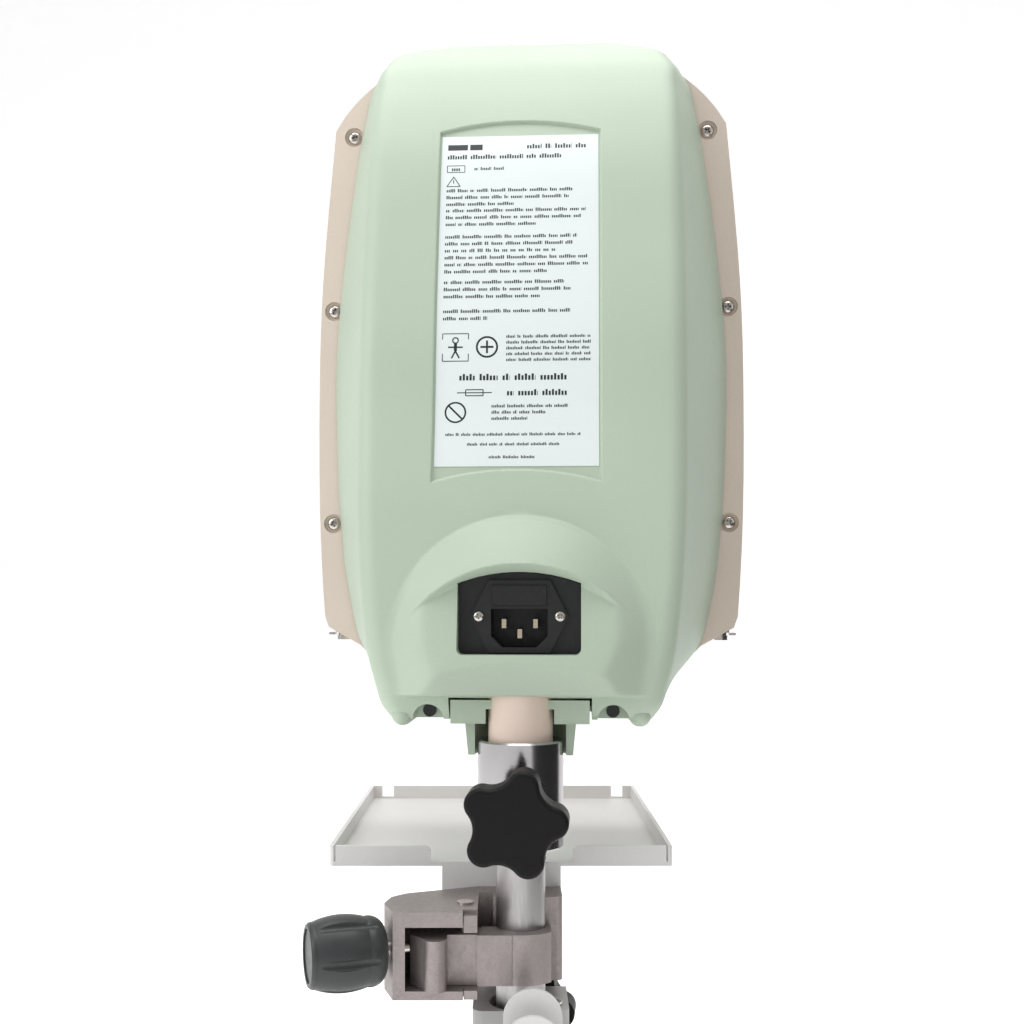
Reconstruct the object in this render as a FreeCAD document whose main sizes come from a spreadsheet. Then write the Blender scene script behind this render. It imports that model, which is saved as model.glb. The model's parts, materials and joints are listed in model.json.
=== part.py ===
"""Pole-mounted two-channel pneumatic pump, with its swivel post, tray and pole clamp.

Frame: +Z up along the pole, origin at the pole's lower end, mains inlet facing -Y, display facing +Y.
Lengths are millimetres and angles are degrees.
"""
import FreeCAD, Part
import math
import os

import Sketcher

Vector = FreeCAD.Vector
Rotation = FreeCAD.Rotation
Placement = FreeCAD.Placement

doc = FreeCAD.newDocument("pole_pump")
sheet = doc.addObject("Spreadsheet::Sheet", "dims")

SIZES = {
    # fits
    "running_gap": 0.3, "shaft_gap": 0.08, "seam_gap": 0.8,
    # pole, collar and post
    "pole_radius": 11.1, "pole_bore": 8.5, "pole_top": 176, "spigot_radius": 10.5, "spigot_length": 40,
    "collar_radius": 19.25, "collar_low": 165, "collar_top": 213, "collar_edge": 0.8,
    "post_radius": 14.5, "post_bore": 11, "post_top": 244,
    "set_screw_height": 202.6, "set_screw_radius": 1.5, "set_screw_length": 4.5,
    # star knobs and their studs
    "stud_radius": 4, "star_height": 183, "star_near": 37, "star_far": 53, "hollow_radius": 10.2,
    "lobe_radius": 6.8, "lobe_circle": 16.2, "lobe_count": 5, "star_edge": 2, "star_turned": 4,
    "star_bore_depth": 11, "lower_star_height": 82, "lower_star_near": 29, "lower_star_far": 45,
    "lower_star_turned": 5.7, "stud_tip": 0.6,
    # tray
    "tray_left": -89.5, "tray_right": 71.5, "tray_near": 25, "tray_far": 213, "tray_under": 150.5,
    "tray_sheet": 2, "tray_rim": 160, "near_gap_left": -42, "near_gap_right": 25, "rim_slot": 7,
    "corner_slot": 0.9, "lip_round": 3,
    "back_left": -36.6, "back_right": 19.1, "back_low": 96.5, "back_corner": 6,
    "tray_screw_low": 112, "tray_screw_high": 131, "tray_screw_radius": 2, "tray_screw_head": 3.8,
    # pole clamp, whose screw's wall is turned towards the front
    "clamp_front": -25, "clamp_right": 19, "clamp_low": 103.2, "clamp_high": 141, "clamp_wall": 5,
    "clamp_plate": 6.5, "clamp_floor": 3.8, "clamp_seat": 13.5, "seat_front": 2.5, "plate_right": -19,
    "clamp_heel_x": -58.5, "clamp_heel_y": 4, "clamp_shoulder_x": -52, "clamp_shoulder_y": 11,
    "clamp_root_x": -20, "well_heel_x": -53.5, "well_heel_y": 1, "well_shoulder_x": -49,
    "well_shoulder_y": 4.5, "well_root_x": -24, "arm_inner": 12.4, "arm_front": 4, "bar_right": -25.2,
    "bar_depth": 5.5, "lug_left": -24.8, "lug_front": -24, "lug_low": 132, "lug_high": 139.4,
    "clamp_round": 4, "arm_round": 2.5, "wall_front": 7.34, "wall_back": -10.5,
    "pivot_x": -24.6, "pivot_y": -8, "pivot_radius": 3, "pivot_head": 3.7, "pivot_boss": 7,
    # jaw
    "jaw_inner": 11.35, "jaw_outer": 18.1, "jaw_end": 1.2, "jaw_heel": -2.6, "jaw_tip": 13.4,
    "jaw_top": 129.3, "jaw_gap": 0.2, "jaw_block_left": -19.3, "jaw_block_right": -4, "jaw_flat": -16.8,
    "jaw_column": 5, "jaw_column_x": -37.2, "jaw_column_y": -23.5, "jaw_tail_left": -48.5,
    "jaw_tail_front": -16, "jaw_tail_back": -9, "jaw_back_x": -41, "jaw_back_y": -4.5,
    # clamp screw, measured along its axis from the wall's outer face
    "screw_height": 123.3, "screw_x": -57.6, "screw_y": -18, "screw_yaw": 17.5, "screw_radius": 4,
    "screw_tip": 8.7, "nose_radius": 2.3, "nose_length": 4, "nose_cone": 2,
    "barrel_start": 2, "barrel_length": 33.7, "barrel_mouth": 7.6, "barrel_shoulder": 15,
    "barrel_shoulder_at": 8.6, "barrel_radius": 16.5, "barrel_radius_at": 17.5, "barrel_brow": 14.2,
    "barrel_brow_at": 31.2, "barrel_rim": 13, "barrel_cap": 11.5, "barrel_cap_depth": 2,
    "barrel_cap_sunk": 0.7, "barrel_bore": 15, "flute_count": 6, "flute_radius": 2.6,
    "flute_circle": 17.2, "flute_turned": 44,
    # lower bracket and hose hook
    "bracket_low": 52, "bracket_high": 95, "bracket_half": 21.4, "bracket_front": -14, "bracket_back": 22,
    "bracket_corner": 5, "bracket_well": 14, "bracket_well_depth": 6, "bracket_screw_x": 15.5,
    "bracket_screw_y": -6, "bracket_screw_radius": 1.8, "bracket_screw_head": 3.1, "bracket_screw_length": 12,
    "hook_sheet": 2, "hook_left": -7.8, "hook_right": 17.2, "hook_mid": -40, "hook_front": -50,
    "hook_floor": 60, "hook_high": 112.6, "hook_near_high": 104.5,
    # rear shell
    "shell_wall": 3.2, "shell_front": 94.2, "shell_corner": 9, "recess_depth": 1.8, "label_sheet": 0.3,
    "recess_half": 38.4, "recess_low": 329, "recess_high": 501, "recess_rise": 5.7,
    "label_half": 37.5, "label_low": 335.6, "label_high": 499.5,
    "hood_radius": 58.2, "hood_centre": 252.8, "hood_foot": 233, "hood_foot_half": 54.5, "hood_front": -22,
    "hood_slope": 10, "face_half": 44, "face_low": 247, "face_high": 291, "face_side_high": 270,
    "face_y": -13, "window_half": 27.2, "window_low": 251.6, "window_side": 283, "window_high": 288,
    "bottom_cut_half": 32, "bottom_cut_top": 232, "bottom_cut_back": 37, "post_notch": 17,
    "nub_radius": 5, "nub_x": 53.5, "nub_z": 224, "nub_length": 70, "pocket_x": 41.5, "pocket_radius": 7,
    "pocket_depth": 5, "pocket_wall": 9.5, "base_screw_head": 3, "base_screw_length": 14,
    # base block and neck shroud
    "base_half": 31, "base_low": 220.5, "base_step": 231, "base_top": 246, "base_front": -7.5,
    "base_back": 36, "base_upper_half": 24, "base_upper_front": -1.5,
    "shroud_inner": 20.6, "shroud_outer": 23.6, "shroud_flare": 25, "shroud_low": 206, "shroud_front": -2,
    # mains inlet
    "panel_y": -10, "panel_sheet": 2, "panel_slack": 0.2, "inlet_height": 268.3, "flange_tip": 21.65,
    "flange_half": 13.6, "flange_rise": 16, "flange_sheet": 2.4, "inlet_half": 13.8, "inlet_low": 253.2,
    "inlet_high": 283.4, "inlet_back": 22, "socket_half": 12.5, "socket_low": 254.7, "socket_high": 271.7,
    "socket_bevel": 5, "socket_back": 4, "pin_half_gap": 7, "pin_z": 265.1, "earth_z": 260.6,
    "pin_width": 2, "pin_rise": 4, "pin_front": -8, "pin_back": 12, "inlet_screw_x": 18,
    "inlet_screw_head": 2.4, "inlet_screw_radius": 1.4, "inlet_screw_length": 8,
    "drawer_half": 12, "drawer_low": 273.2, "drawer_high": 282, "drawer_back": 16, "drawer_front": -13.2,
    "fuse_radius": 2.5, "fuse_length": 20, "fuse_x": 6,
    # front housing and bezel
    "housing_back": 95, "housing_front": 126, "housing_wall": 3, "bezel_back": 126.2, "bezel_front": 134,
    "bezel_edge": 3, "housing_screw_head": 3.4, "housing_screw_radius": 2, "housing_screw_length": 16,
    "housing_pocket": 5, "housing_pocket_depth": 2, "opening_half": 76, "opening_low": 268,
    "opening_high": 512,
    # display, keys and ports
    "display_half": 40, "display_x": 47, "display_low": 400, "display_high": 480, "display_sheet": 2,
    "module_depth": 6, "key_half": 8, "key_rise": 6, "key_stem": 6, "key_stem_radius": 2, "key_travel": 0.8, "key_proud": 1.2,
    "key_flange": 1.5, "key_flange_sheet": 1, "key_edge": 1, "key_board_y": 116, "key_board_sheet": 1.6,
    "key_row_high": 365, "key_row_low": 335, "key_inner_x": 30, "key_outer_x": 66, "key_low_row": 300,
    "port_x": 101, "port_y": 112, "port_radius": 4.6, "port_low": 253.5, "port_high": 273, "port_bore": 2.4,
    "latch_half": 3, "latch_gap": 4.1, "latch_reach": 7.6,
    # inside
    "chassis_y": 62, "chassis_sheet": 2, "chassis_half": 66, "chassis_low": 262, "chassis_high": 505,
    "supply_half": 45, "supply_low": 300, "supply_high": 385, "supply_depth": 34,
    "battery_half": 38, "battery_low": 400, "battery_high": 450, "battery_depth": 24,
    "pump_x": 33, "pump_radius": 15, "pump_low": 285, "pump_length": 42, "can_wall": 1.2, "can_base": 2,
    "rotor_radius": 11, "rotor_shaft": 1.5, "pump_head_half": 17, "pump_head_rise": 16,
    "valve_half": 40, "valve_low": 375, "valve_rise": 16, "valve_depth": 16, "coil_radius": 6.5,
    "coil_length": 18, "coil_gap": 24, "coil_count": 4, "board_half": 62, "board_low": 425,
    "board_high": 500, "board_y": 78, "board_sheet": 1.6, "chip_half": 8, "chip_x": 35, "chip_rise": 2,
    "speaker_radius": 16, "speaker_depth": 9, "speaker_x": 0, "speaker_z": 405, "tube_radius": 2.5,
    "tube_bore": 1.5, "screen_lip": 1.5,
    # stand heading relative to the head
    "stand_heading": 3.4,
}

# horizontal sections of the rear shell: height, half width at the back, half width at the seam, back Y
SHELL_STATIONS = {
    "sole": (222, 59, 62, -2),
    "toe": (228, 62.5, 70, -6),
    "heel": (236, 64.5, 76, -8),
    "hip": (250, 67.5, 87, -8.5),
    "belt": (276, 70.5, 94.5, -8),
    "waist": (316, 73, 99.5, -2),
    "ribs": (360, 74, 101.5, 7.5),
    "chest": (405, 74, 101.5, 14),
    "armpit": (450, 74, 97.5, 25),
    "collarbone": (499, 73.5, 91, 40),
    "shoulder": (527, 72.5, 86, 54),
    "crown": (545.5, 70, 80, 67),
    "brow": (554.5, 62, 70.5, 76),
    "top": (560.3, 42, 48, 84),
}
STATION_WORDS = ("height", "back_half", "seam_half", "back_y")

# half outline of the front housing, from its lowest point up: half width, height
HOUSING_STATIONS = {
    "keel": (57, 223), "bilge": (68.5, 229), "throat": (75.5, 238), "chin": (84.5, 246.5),
    "ledge": (89, 251), "jowl": (106, 260.5), "cheek": (108, 266),
    "ear": (110.6, 317), "temple": (111, 375), "browside": (109.6, 432), "headside": (105.8, 482),
    "corner": (102, 522), "hairline": (97.5, 529), "crownline": (62, 556), "peak": (0, 562.8),
}

for station, numbers in SHELL_STATIONS.items():
    SIZES.update({f"{station}_{word}": number for word, number in zip(STATION_WORDS, numbers)})
for station, numbers in HOUSING_STATIONS.items():
    SIZES.update({f"{station}_{word}": number for word, number in zip(("across", "up"), numbers)})
for row, (name, number) in enumerate(SIZES.items(), start=1):
    sheet.set(f"A{row}", name)
    sheet.set(f"B{row}", str(number))
    sheet.setAlias(f"B{row}", name)
doc.recompute()


class Size:
    """A length that carries both its formula, for binding, and its value."""

    def __init__(self, text, value):
        self.text = text
        self.value = float(value)

    def __add__(self, other):
        other = as_size(other)
        return Size(f"({self.text} + {other.text})", self.value + other.value)

    def __sub__(self, other):
        other = as_size(other)
        return Size(f"({self.text} - {other.text})", self.value - other.value)

    def __mul__(self, other):
        other = as_size(other)
        return Size(f"({self.text} * {other.text})", self.value * other.value)

    def __truediv__(self, other):
        other = as_size(other)
        return Size(f"({self.text} / {other.text})", self.value / other.value)

    def __neg__(self):
        return Size(f"(-1 * {self.text})", -self.value)

    __radd__ = __add__


class Sheet:
    """Reads S.name as the sheet's value of that name."""

    def __getattr__(self, name):
        return Size(f"dims.{name}", sheet.get(name))


S = Sheet()
ZERO = Size("0", 0)
nodes = []
stand = []


def as_size(length):
    return length if isinstance(length, Size) else Size(repr(float(length)), length)


def bind(target, path, length):
    target.setExpression(path, as_size(length).text)


def put(piece, base):
    for axis, length in zip("xyz", base):
        bind(piece, f"Placement.Base.{axis}", length)


def keep(piece, name, on_stand=False):
    """Name a finished sub-part, which becomes one node."""
    piece.Label = name
    nodes.append(piece)
    if on_stand:
        stand.append(piece)
    return piece


# ---- primitives and booleans -------------------------------------------------------------------

ALONG = {"z": Rotation(), "y": Rotation(Vector(1, 0, 0), -90), "x": Rotation(Vector(0, 1, 0), 90)}


def box(name, low, high):
    piece = doc.addObject("Part::Box", name)
    for side, start, stop in zip(("Length", "Width", "Height"), low, high):
        bind(piece, side, as_size(stop) - start)
    put(piece, low)
    return piece


def rod(name, radius, base, length, along="z"):
    piece = doc.addObject("Part::Cylinder", name)
    bind(piece, "Radius", radius)
    bind(piece, "Height", length)
    piece.Placement = Placement(Vector(), ALONG[along])
    put(piece, base)
    return piece


def fuse(name, *pieces):
    joined = doc.addObject("Part::MultiFuse", name)
    joined.Shapes = list(pieces)
    joined.Refine = True
    return joined


def group(name, *pieces):
    """Separate solids that share one node."""
    joined = doc.addObject("Part::Compound", name)
    joined.Links = list(pieces)
    return joined


def cut(name, base, *tools):
    piece = doc.addObject("Part::Cut", name)
    piece.Base = base
    piece.Tool = tools[0] if len(tools) == 1 else fuse(f"{name}_tools", *tools)
    piece.Refine = True
    return piece


def common(name, first, second):
    piece = doc.addObject("Part::Common", name)
    piece.Base = first
    piece.Tool = second
    return piece


def soften(name, base, radius, chosen):
    """Round the edges of a finished solid that the test picks."""
    doc.recompute()
    piece = doc.addObject("Part::Fillet", name)
    piece.Base = base
    edges = [index for index, edge in enumerate(base.Shape.Edges, start=1) if chosen(edge)]
    piece.Edges = [(index, radius.value, radius.value) for index in edges]
    return piece


def solid(name, shape):
    piece = doc.addObject("Part::Feature", name)
    piece.Shape = shape
    return piece


def upright(edge):
    """True for a straight edge along Z."""
    ends = edge.Vertexes
    if len(ends) != 2 or not isinstance(edge.Curve, Part.Line):
        return False
    return abs(ends[0].Point.x - ends[1].Point.x) < 1e-6 and abs(ends[0].Point.y - ends[1].Point.y) < 1e-6


# ---- sketched bodies ---------------------------------------------------------------------------

def start(name, on_stand=False):
    return keep(doc.addObject("PartDesign::Body", f"{name}_body"), name, on_stand)


def sketch(body, role, offset=ZERO):
    drawing = body.newObject("Sketcher::SketchObject", f"{body.Label}_sketch")
    plane = next(item for item in body.Origin.OriginFeatures if item.Role == role)
    drawing.AttachmentSupport = [(plane, "")]
    drawing.MapMode = "FlatFace"
    bind(drawing, "AttachmentOffset.Base.z", offset)
    return drawing


def outline(drawing, points):
    """A closed outline of straight lines whose corners are bound to the sheet."""
    points = [(as_size(x), as_size(y)) for x, y in points]
    first = drawing.GeometryCount
    ends = points[1:] + points[:1]
    for (x, y), (next_x, next_y) in zip(points, ends):
        drawing.addGeometry(Part.LineSegment(Vector(x.value, y.value), Vector(next_x.value, next_y.value)), False)
    for index, (x, y) in enumerate(points):
        line = first + index
        follower = first + (index + 1) % len(points)
        drawing.addConstraint(Sketcher.Constraint("Coincident", line, 2, follower, 1))
        for kind, length in (("DistanceX", x), ("DistanceY", y)):
            number = drawing.addConstraint(Sketcher.Constraint(kind, -1, 1, line, 1, length.value))
            drawing.setExpression(f"Constraints[{number}]", length.text)
    return drawing


def circle(drawing, radius, x=ZERO, y=ZERO):
    index = drawing.addGeometry(Part.Circle(Vector(as_size(x).value, as_size(y).value), Vector(0, 0, 1),
                                            radius.value), False)
    number = drawing.addConstraint(Sketcher.Constraint("Radius", index, radius.value))
    drawing.setExpression(f"Constraints[{number}]", radius.text)
    for kind, length in (("DistanceX", as_size(x)), ("DistanceY", as_size(y))):
        number = drawing.addConstraint(Sketcher.Constraint(kind, -1, 1, index, 3, length.value))
        drawing.setExpression(f"Constraints[{number}]", length.text)
    return drawing


def pad(body, drawing, length):
    feature = body.newObject("PartDesign::Pad", f"{body.Label}_pad")
    feature.Profile = drawing
    bind(feature, "Length", length)
    return feature


def pocket(body, drawing, length, reverse=False):
    """A pocket that must take material away."""
    doc.recompute()
    before = body.Shape.Volume
    feature = body.newObject("PartDesign::Pocket", f"{body.Label}_pocket")
    feature.Profile = drawing
    feature.Reversed = reverse
    bind(feature, "Length", length)
    doc.recompute()
    if not body.Shape.Volume < before:
        raise RuntimeError(f"the pocket in {body.Label} cut nothing")
    return feature


def turned(name, profile, on_stand=False):
    """A body turned about its own Z from a profile of (radius, height) corners."""
    body = start(name, on_stand)
    spin = body.newObject("PartDesign::Revolution", f"{name}_turning")
    drawing = outline(sketch(body, "XZ_Plane"), profile)
    spin.Profile = drawing
    spin.ReferenceAxis = (drawing, ["V_Axis"])
    spin.Angle = 360
    body.Tip = spin
    return body


def aim(body, height, direction):
    """Point a body's own Z along a level direction, from the pole's axis at a height."""
    body.Placement = Placement(Vector(), Rotation(Vector(0, 0, 1), direction))
    put(body, (ZERO, ZERO, height))


# ---- pole, collar, post ------------------------------------------------------------------------

def make_pole():
    turned("pole", [
        (S.pole_bore, ZERO), (S.spigot_radius, ZERO), (S.spigot_radius, S.spigot_length),
        (S.pole_radius, S.spigot_length), (S.pole_radius, S.pole_top), (S.pole_bore, S.pole_top)], True)


def make_collar():
    post_bore = S.post_radius + S.shaft_gap
    sleeve = turned("collar_sleeve", [
        (S.pole_radius, S.collar_low), (S.collar_radius - S.collar_edge, S.collar_low),
        (S.collar_radius, S.collar_low + S.collar_edge), (S.collar_radius, S.collar_top - S.collar_edge),
        (S.collar_radius - S.collar_edge, S.collar_top), (post_bore + S.collar_edge, S.collar_top),
        (post_bore, S.collar_top - S.collar_edge), (post_bore, S.pole_top), (S.pole_radius, S.pole_top)])
    nodes.remove(sleeve)
    stud_hole = doc.addObject("Part::Cylinder", "collar_stud_hole")
    bind(stud_hole, "Radius", S.stud_radius + S.shaft_gap)
    bind(stud_hole, "Height", S.collar_radius * 2)
    stud_hole.Placement = Placement(Vector(), Rotation(Vector(0, 0, 1), star_direction()))
    put(stud_hole, (ZERO, ZERO, S.star_height))
    screw_hole = rod("collar_screw_holes", S.set_screw_radius, (-S.collar_radius * 2, 0, S.set_screw_height),
                     S.collar_radius * 4, "x")
    keep(cut("collar_drilled", sleeve, stud_hole, screw_hole), "collar", True)
    reach = S.post_radius + S.shaft_gap
    left = rod("set_screw_left", S.set_screw_radius,
               (-(reach + S.set_screw_length + 0.2), 0, S.set_screw_height), S.set_screw_length, "x")
    right = rod("set_screw_right", S.set_screw_radius, (reach + 0.2, 0, S.set_screw_height),
                S.set_screw_length, "x")
    keep(group("set_screw_pair", left, right), "collar_set_screws", True)


def make_post():
    turned("post", [
        (S.post_bore, S.pole_top), (S.post_radius, S.pole_top), (S.post_radius, S.post_top),
        (S.post_bore, S.post_top)])


# ---- star knobs --------------------------------------------------------------------------------

def star_direction():
    turn = math.radians(S.star_turned.value)
    return Vector(-math.sin(turn), -math.cos(turn), 0)


def lower_star_direction():
    turn = math.radians(S.lower_star_turned.value)
    return Vector(math.sin(turn), math.cos(turn), 0)


def star_outline(drawing):
    """Lobes joined by hollows that meet them smoothly."""
    count = int(S.lobe_count.value)
    lobe, ring, hollow = S.lobe_radius.value, S.lobe_circle.value, S.hollow_radius.value
    half_turn = math.pi / count
    # a hollow's centre lies on the line between two lobes, where the two circles just touch
    near_part = ring * math.cos(half_turn)
    hollow_ring = near_part + math.sqrt((lobe + hollow) ** 2 - (ring * math.sin(half_turn)) ** 2)
    for index in range(count):
        heading = 2 * half_turn * index
        places = [(ring, heading), (hollow_ring, heading + half_turn), (hollow_ring, heading - half_turn),
                  (ring, heading + 2 * half_turn)]
        centre, after, before, following = [
            Vector(distance * math.cos(turn), distance * math.sin(turn)) for distance, turn in places]
        touch = centre + (after - centre).normalize() * lobe
        touch_before = centre + (before - centre).normalize() * lobe
        touch_next = following + (after - following).normalize() * lobe
        crest = centre + Vector(centre).normalize() * lobe
        valley = after - Vector(after).normalize() * hollow
        drawing.addGeometry(Part.Arc(touch_before, crest, touch), False)
        drawing.addGeometry(Part.Arc(touch, valley, touch_next), False)
    return drawing


def make_star(knob_name, stud_name, height, direction, near, far, tip):
    """A five-lobed knob and the stud that it is moulded on."""
    stud_end = near + S.star_bore_depth
    stud = turned(stud_name, [
        (ZERO, tip), (S.stud_radius - S.stud_tip, tip), (S.stud_radius, tip + S.stud_tip),
        (S.stud_radius, stud_end), (ZERO, stud_end)], True)
    aim(stud, height, direction)
    knob = start(knob_name, True)
    pad(knob, star_outline(sketch(knob, "XY_Plane", near)), far - near)
    pocket(knob, circle(sketch(knob, "XY_Plane", near), S.stud_radius + S.shaft_gap),
           S.star_bore_depth + S.shaft_gap, True)
    drilled = knob.Tip
    rim = knob.newObject("PartDesign::Fillet", f"{knob_name}_rim")
    level = far.value
    picked = [f"Edge{index}" for index, edge in enumerate(drilled.Shape.Edges, start=1)
              if abs(edge.CenterOfMass.z - level) < 1e-4]
    rim.Base = (drilled, picked)
    bind(rim, "Radius", S.star_edge)
    knob.Tip = rim
    aim(knob, height, direction)


# ---- tray --------------------------------------------------------------------------------------

def make_tray():
    top = S.tray_under + S.tray_sheet
    plate = box("tray_plate", (S.tray_left, S.tray_near, S.tray_under), (S.tray_right, S.tray_far, top))
    inner_left = S.tray_left + S.tray_sheet
    inner_right = S.tray_right - S.tray_sheet
    left_rim = box("tray_left_rim", (S.tray_left, S.tray_near, S.tray_under),
                   (inner_left, S.tray_far, S.tray_rim))
    right_rim = box("tray_right_rim", (inner_right, S.tray_near, S.tray_under),
                    (S.tray_right, S.tray_far, S.tray_rim))
    far_rim = box("tray_far_rim", (S.tray_left, S.tray_far - S.tray_sheet, S.tray_under),
                  (S.tray_right, S.tray_far, S.tray_rim))
    near_rim = box("tray_near_rim", (S.tray_left, S.tray_near, S.tray_under),
                   (S.tray_right, S.tray_near + S.tray_sheet, S.tray_rim))
    near_gap = box("tray_near_gap", (S.near_gap_left, S.tray_near - 1, top),
                   (S.near_gap_right, S.tray_near + S.tray_sheet + 1, S.tray_rim + 1))
    slots = [box(f"tray_slot_{side}", (low, S.tray_far - S.tray_sheet - 1, top + 1),
                 (low + S.rim_slot, S.tray_far + 1, S.tray_rim + 1))
             for side, low in (("left", S.tray_left + S.rim_slot),
                               ("right", S.tray_right - S.rim_slot * 2))]
    corner_slots = [box(f"tray_corner_slot_{side}", (low, S.tray_near - 1, top),
                        (low + S.corner_slot, S.tray_near + S.tray_sheet + 1, S.tray_rim + 1))
                    for side, low in (("left", inner_left), ("right", inner_right - S.corner_slot))]
    dish = cut("tray_dish", fuse("tray_pressing", plate, left_rim, right_rim, far_rim, near_rim),
               near_gap, *slots, *corner_slots)

    def dish_corner(edge):
        centre = edge.CenterOfMass
        at_side = min(abs(centre.x - S.tray_left.value), abs(centre.x - S.tray_right.value)) < 1e-4
        at_end = min(abs(centre.y - S.tray_near.value), abs(centre.y - S.tray_far.value)) < 1e-4
        return upright(edge) and at_side and at_end

    def lip_corner(edge):
        centre = edge.CenterOfMass
        at_gap = min(abs(centre.x - S.near_gap_left.value), abs(centre.x - S.near_gap_right.value)) < 1e-4
        return at_gap and not upright(edge) and abs(centre.z - S.tray_rim.value) < 1e-4

    rounded = soften("tray_rounded", soften("tray_lips", dish, S.lip_round, lip_corner),
                     S.tray_sheet * 0.95, dish_corner)
    back = box("tray_back", (S.back_left, S.tray_near, S.back_low),
               (S.back_right, S.tray_near + S.tray_sheet, top))

    def back_corner(edge):
        centre = edge.CenterOfMass
        along_y = abs(edge.Vertexes[0].Point.y - edge.Vertexes[-1].Point.y) > 1e-4
        return along_y and abs(centre.z - S.back_low.value) < 1e-4

    back_plate = soften("tray_back_rounded", back, S.back_corner, back_corner)
    holes = [rod(f"tray_hole_{index}", S.tray_screw_radius + 0.05,
                 ((S.back_left + S.back_right) / 2, S.tray_near - 1, height), S.tray_sheet + 2, "y")
             for index, height in enumerate((S.tray_screw_low, S.tray_screw_high))]
    keep(cut("tray_drilled", fuse("tray_bent", rounded, back_plate), *holes), "tray", True)
    screws = []
    for index, height in enumerate((S.tray_screw_low, S.tray_screw_high)):
        centre = (S.back_left + S.back_right) / 2
        outside = S.tray_near + S.tray_sheet
        shank = rod(f"tray_shank_{index}", S.tray_screw_radius, (centre, S.clamp_seat + 3, height),
                    outside - S.clamp_seat - 3, "y")
        head = rod(f"tray_head_{index}", S.tray_screw_head, (centre, outside, height), 2.2, "y")
        screws.append(fuse(f"tray_screw_{index}", shank, head))
    return screws


# ---- pole clamp --------------------------------------------------------------------------------

def plan_prism(points, low, high):
    """A plan outline of (x, y) corners carried from one height to another."""
    corners = [Vector(as_size(x).value, as_size(y).value, low.value) for x, y in points]
    return Part.Face(Part.makePolygon(corners + corners[:1])).extrude(Vector(0, 0, (high - low).value))


def level_rod(radius, x, y, low, high):
    return Part.makeCylinder(radius.value, high.value - low.value, Vector(x.value, y.value, low.value))


def level_box(low, high):
    low, high = [Vector(*(as_size(length).value for length in corner)) for corner in (low, high)]
    return Part.makeBox(high.x - low.x, high.y - low.y, high.z - low.z, low)


def screw_direction():
    turn = math.radians(S.screw_yaw.value)
    return Vector(-math.cos(turn), -math.sin(turn), 0)


def wall_point(along, inward=ZERO):
    """A plan point measured from where the screw leaves its wall: towards the front, and inwards."""
    outward = screw_direction()
    x = S.screw_x.value - along.value * outward.y - inward.value * outward.x
    y = S.screw_y.value + along.value * outward.x - inward.value * outward.y
    return x, y


def make_clamp_body():
    """A C-shaped casting: back wall with the pole seat, two plates, a screw wall and a short arm."""
    back = S.tray_near
    front_bar = S.clamp_front + S.bar_depth
    block = plan_prism([
        wall_point(S.wall_front), wall_point(S.wall_back), (S.clamp_heel_x, S.clamp_heel_y),
        (S.clamp_shoulder_x, S.clamp_shoulder_y), (S.clamp_root_x, back), (S.clamp_right, back),
        (S.clamp_right, S.arm_front), (S.arm_inner, S.arm_front), (S.arm_inner, S.seat_front),
        (-S.arm_inner, S.seat_front), (-S.arm_inner, S.clamp_seat), (S.plate_right, S.clamp_seat),
        (S.plate_right, S.clamp_front)], S.clamp_low, S.clamp_high)

    def upright_at(x, y):
        return [edge for edge in block.Edges if upright(edge)
                and abs(edge.CenterOfMass.x - x) < 1e-3 and abs(edge.CenterOfMass.y - y) < 1e-3]

    knuckles = [wall_point(S.wall_back), (S.clamp_heel_x.value, S.clamp_heel_y.value),
                (S.clamp_shoulder_x.value, S.clamp_shoulder_y.value)]
    rounded = [edge for x, y in knuckles for edge in upright_at(x, y)]
    block = block.makeFillet(S.clamp_round.value, rounded)
    block = block.makeFillet(S.arm_round.value, upright_at(S.clamp_right.value, S.arm_front.value))
    past = S.clamp_front - 1
    well = plan_prism([
        wall_point(S.wall_front + 2, S.clamp_wall), wall_point(S.wall_back + 1.5, S.clamp_wall),
        (S.well_heel_x, S.well_heel_y), (S.well_shoulder_x, S.well_shoulder_y),
        (S.well_root_x, S.clamp_seat), (-S.arm_inner, S.clamp_seat), (-S.arm_inner, past)],
        S.clamp_low + S.clamp_floor, S.clamp_high - S.clamp_plate)
    under, above = S.clamp_low - 1, S.clamp_high + 1
    trim = level_box((S.bar_right, past, under), (S.plate_right + 1, front_bar, above))
    seat = level_rod(S.pole_radius, ZERO, ZERO, under, above)
    pin_way = level_rod(S.pivot_radius, S.pivot_x, S.pivot_y, under, above)
    mouth = Vector(S.screw_x.value, S.screw_y.value, S.screw_height.value)
    screw_way = Part.makeCylinder((S.screw_radius + S.shaft_gap).value, S.clamp_wall.value + 4,
                                  mouth + screw_direction() * 2, screw_direction() * -1)
    middle = (S.back_left + S.back_right).value / 2
    taps = [Part.makeCylinder(S.tray_screw_radius.value + 0.05, back.value,
                              Vector(middle, S.clamp_seat.value + 3, height.value), Vector(0, 1, 0))
            for height in (S.tray_screw_low, S.tray_screw_high)]
    lugs = [level_box((S.lug_left, S.lug_front, low), (S.plate_right, front_bar + 1, high))
            for low, high in ((S.lug_low, S.lug_high), (S.clamp_low, S.clamp_low + S.clamp_floor))]
    casting = block.cut([well, trim, seat, pin_way, screw_way, *taps]).fuse(lugs).removeSplitter()
    keep(solid("clamp_casting", casting), "clamp_body", True)
    pin = turned("pivot_pin", [
        (ZERO, S.clamp_low), (S.pivot_radius, S.clamp_low), (S.pivot_radius, S.clamp_high),
        (S.pivot_head, S.clamp_high), (S.pivot_head, S.clamp_high + 1), (ZERO, S.clamp_high + 1)], True)
    put(pin, (S.pivot_x, S.pivot_y, ZERO))


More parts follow.
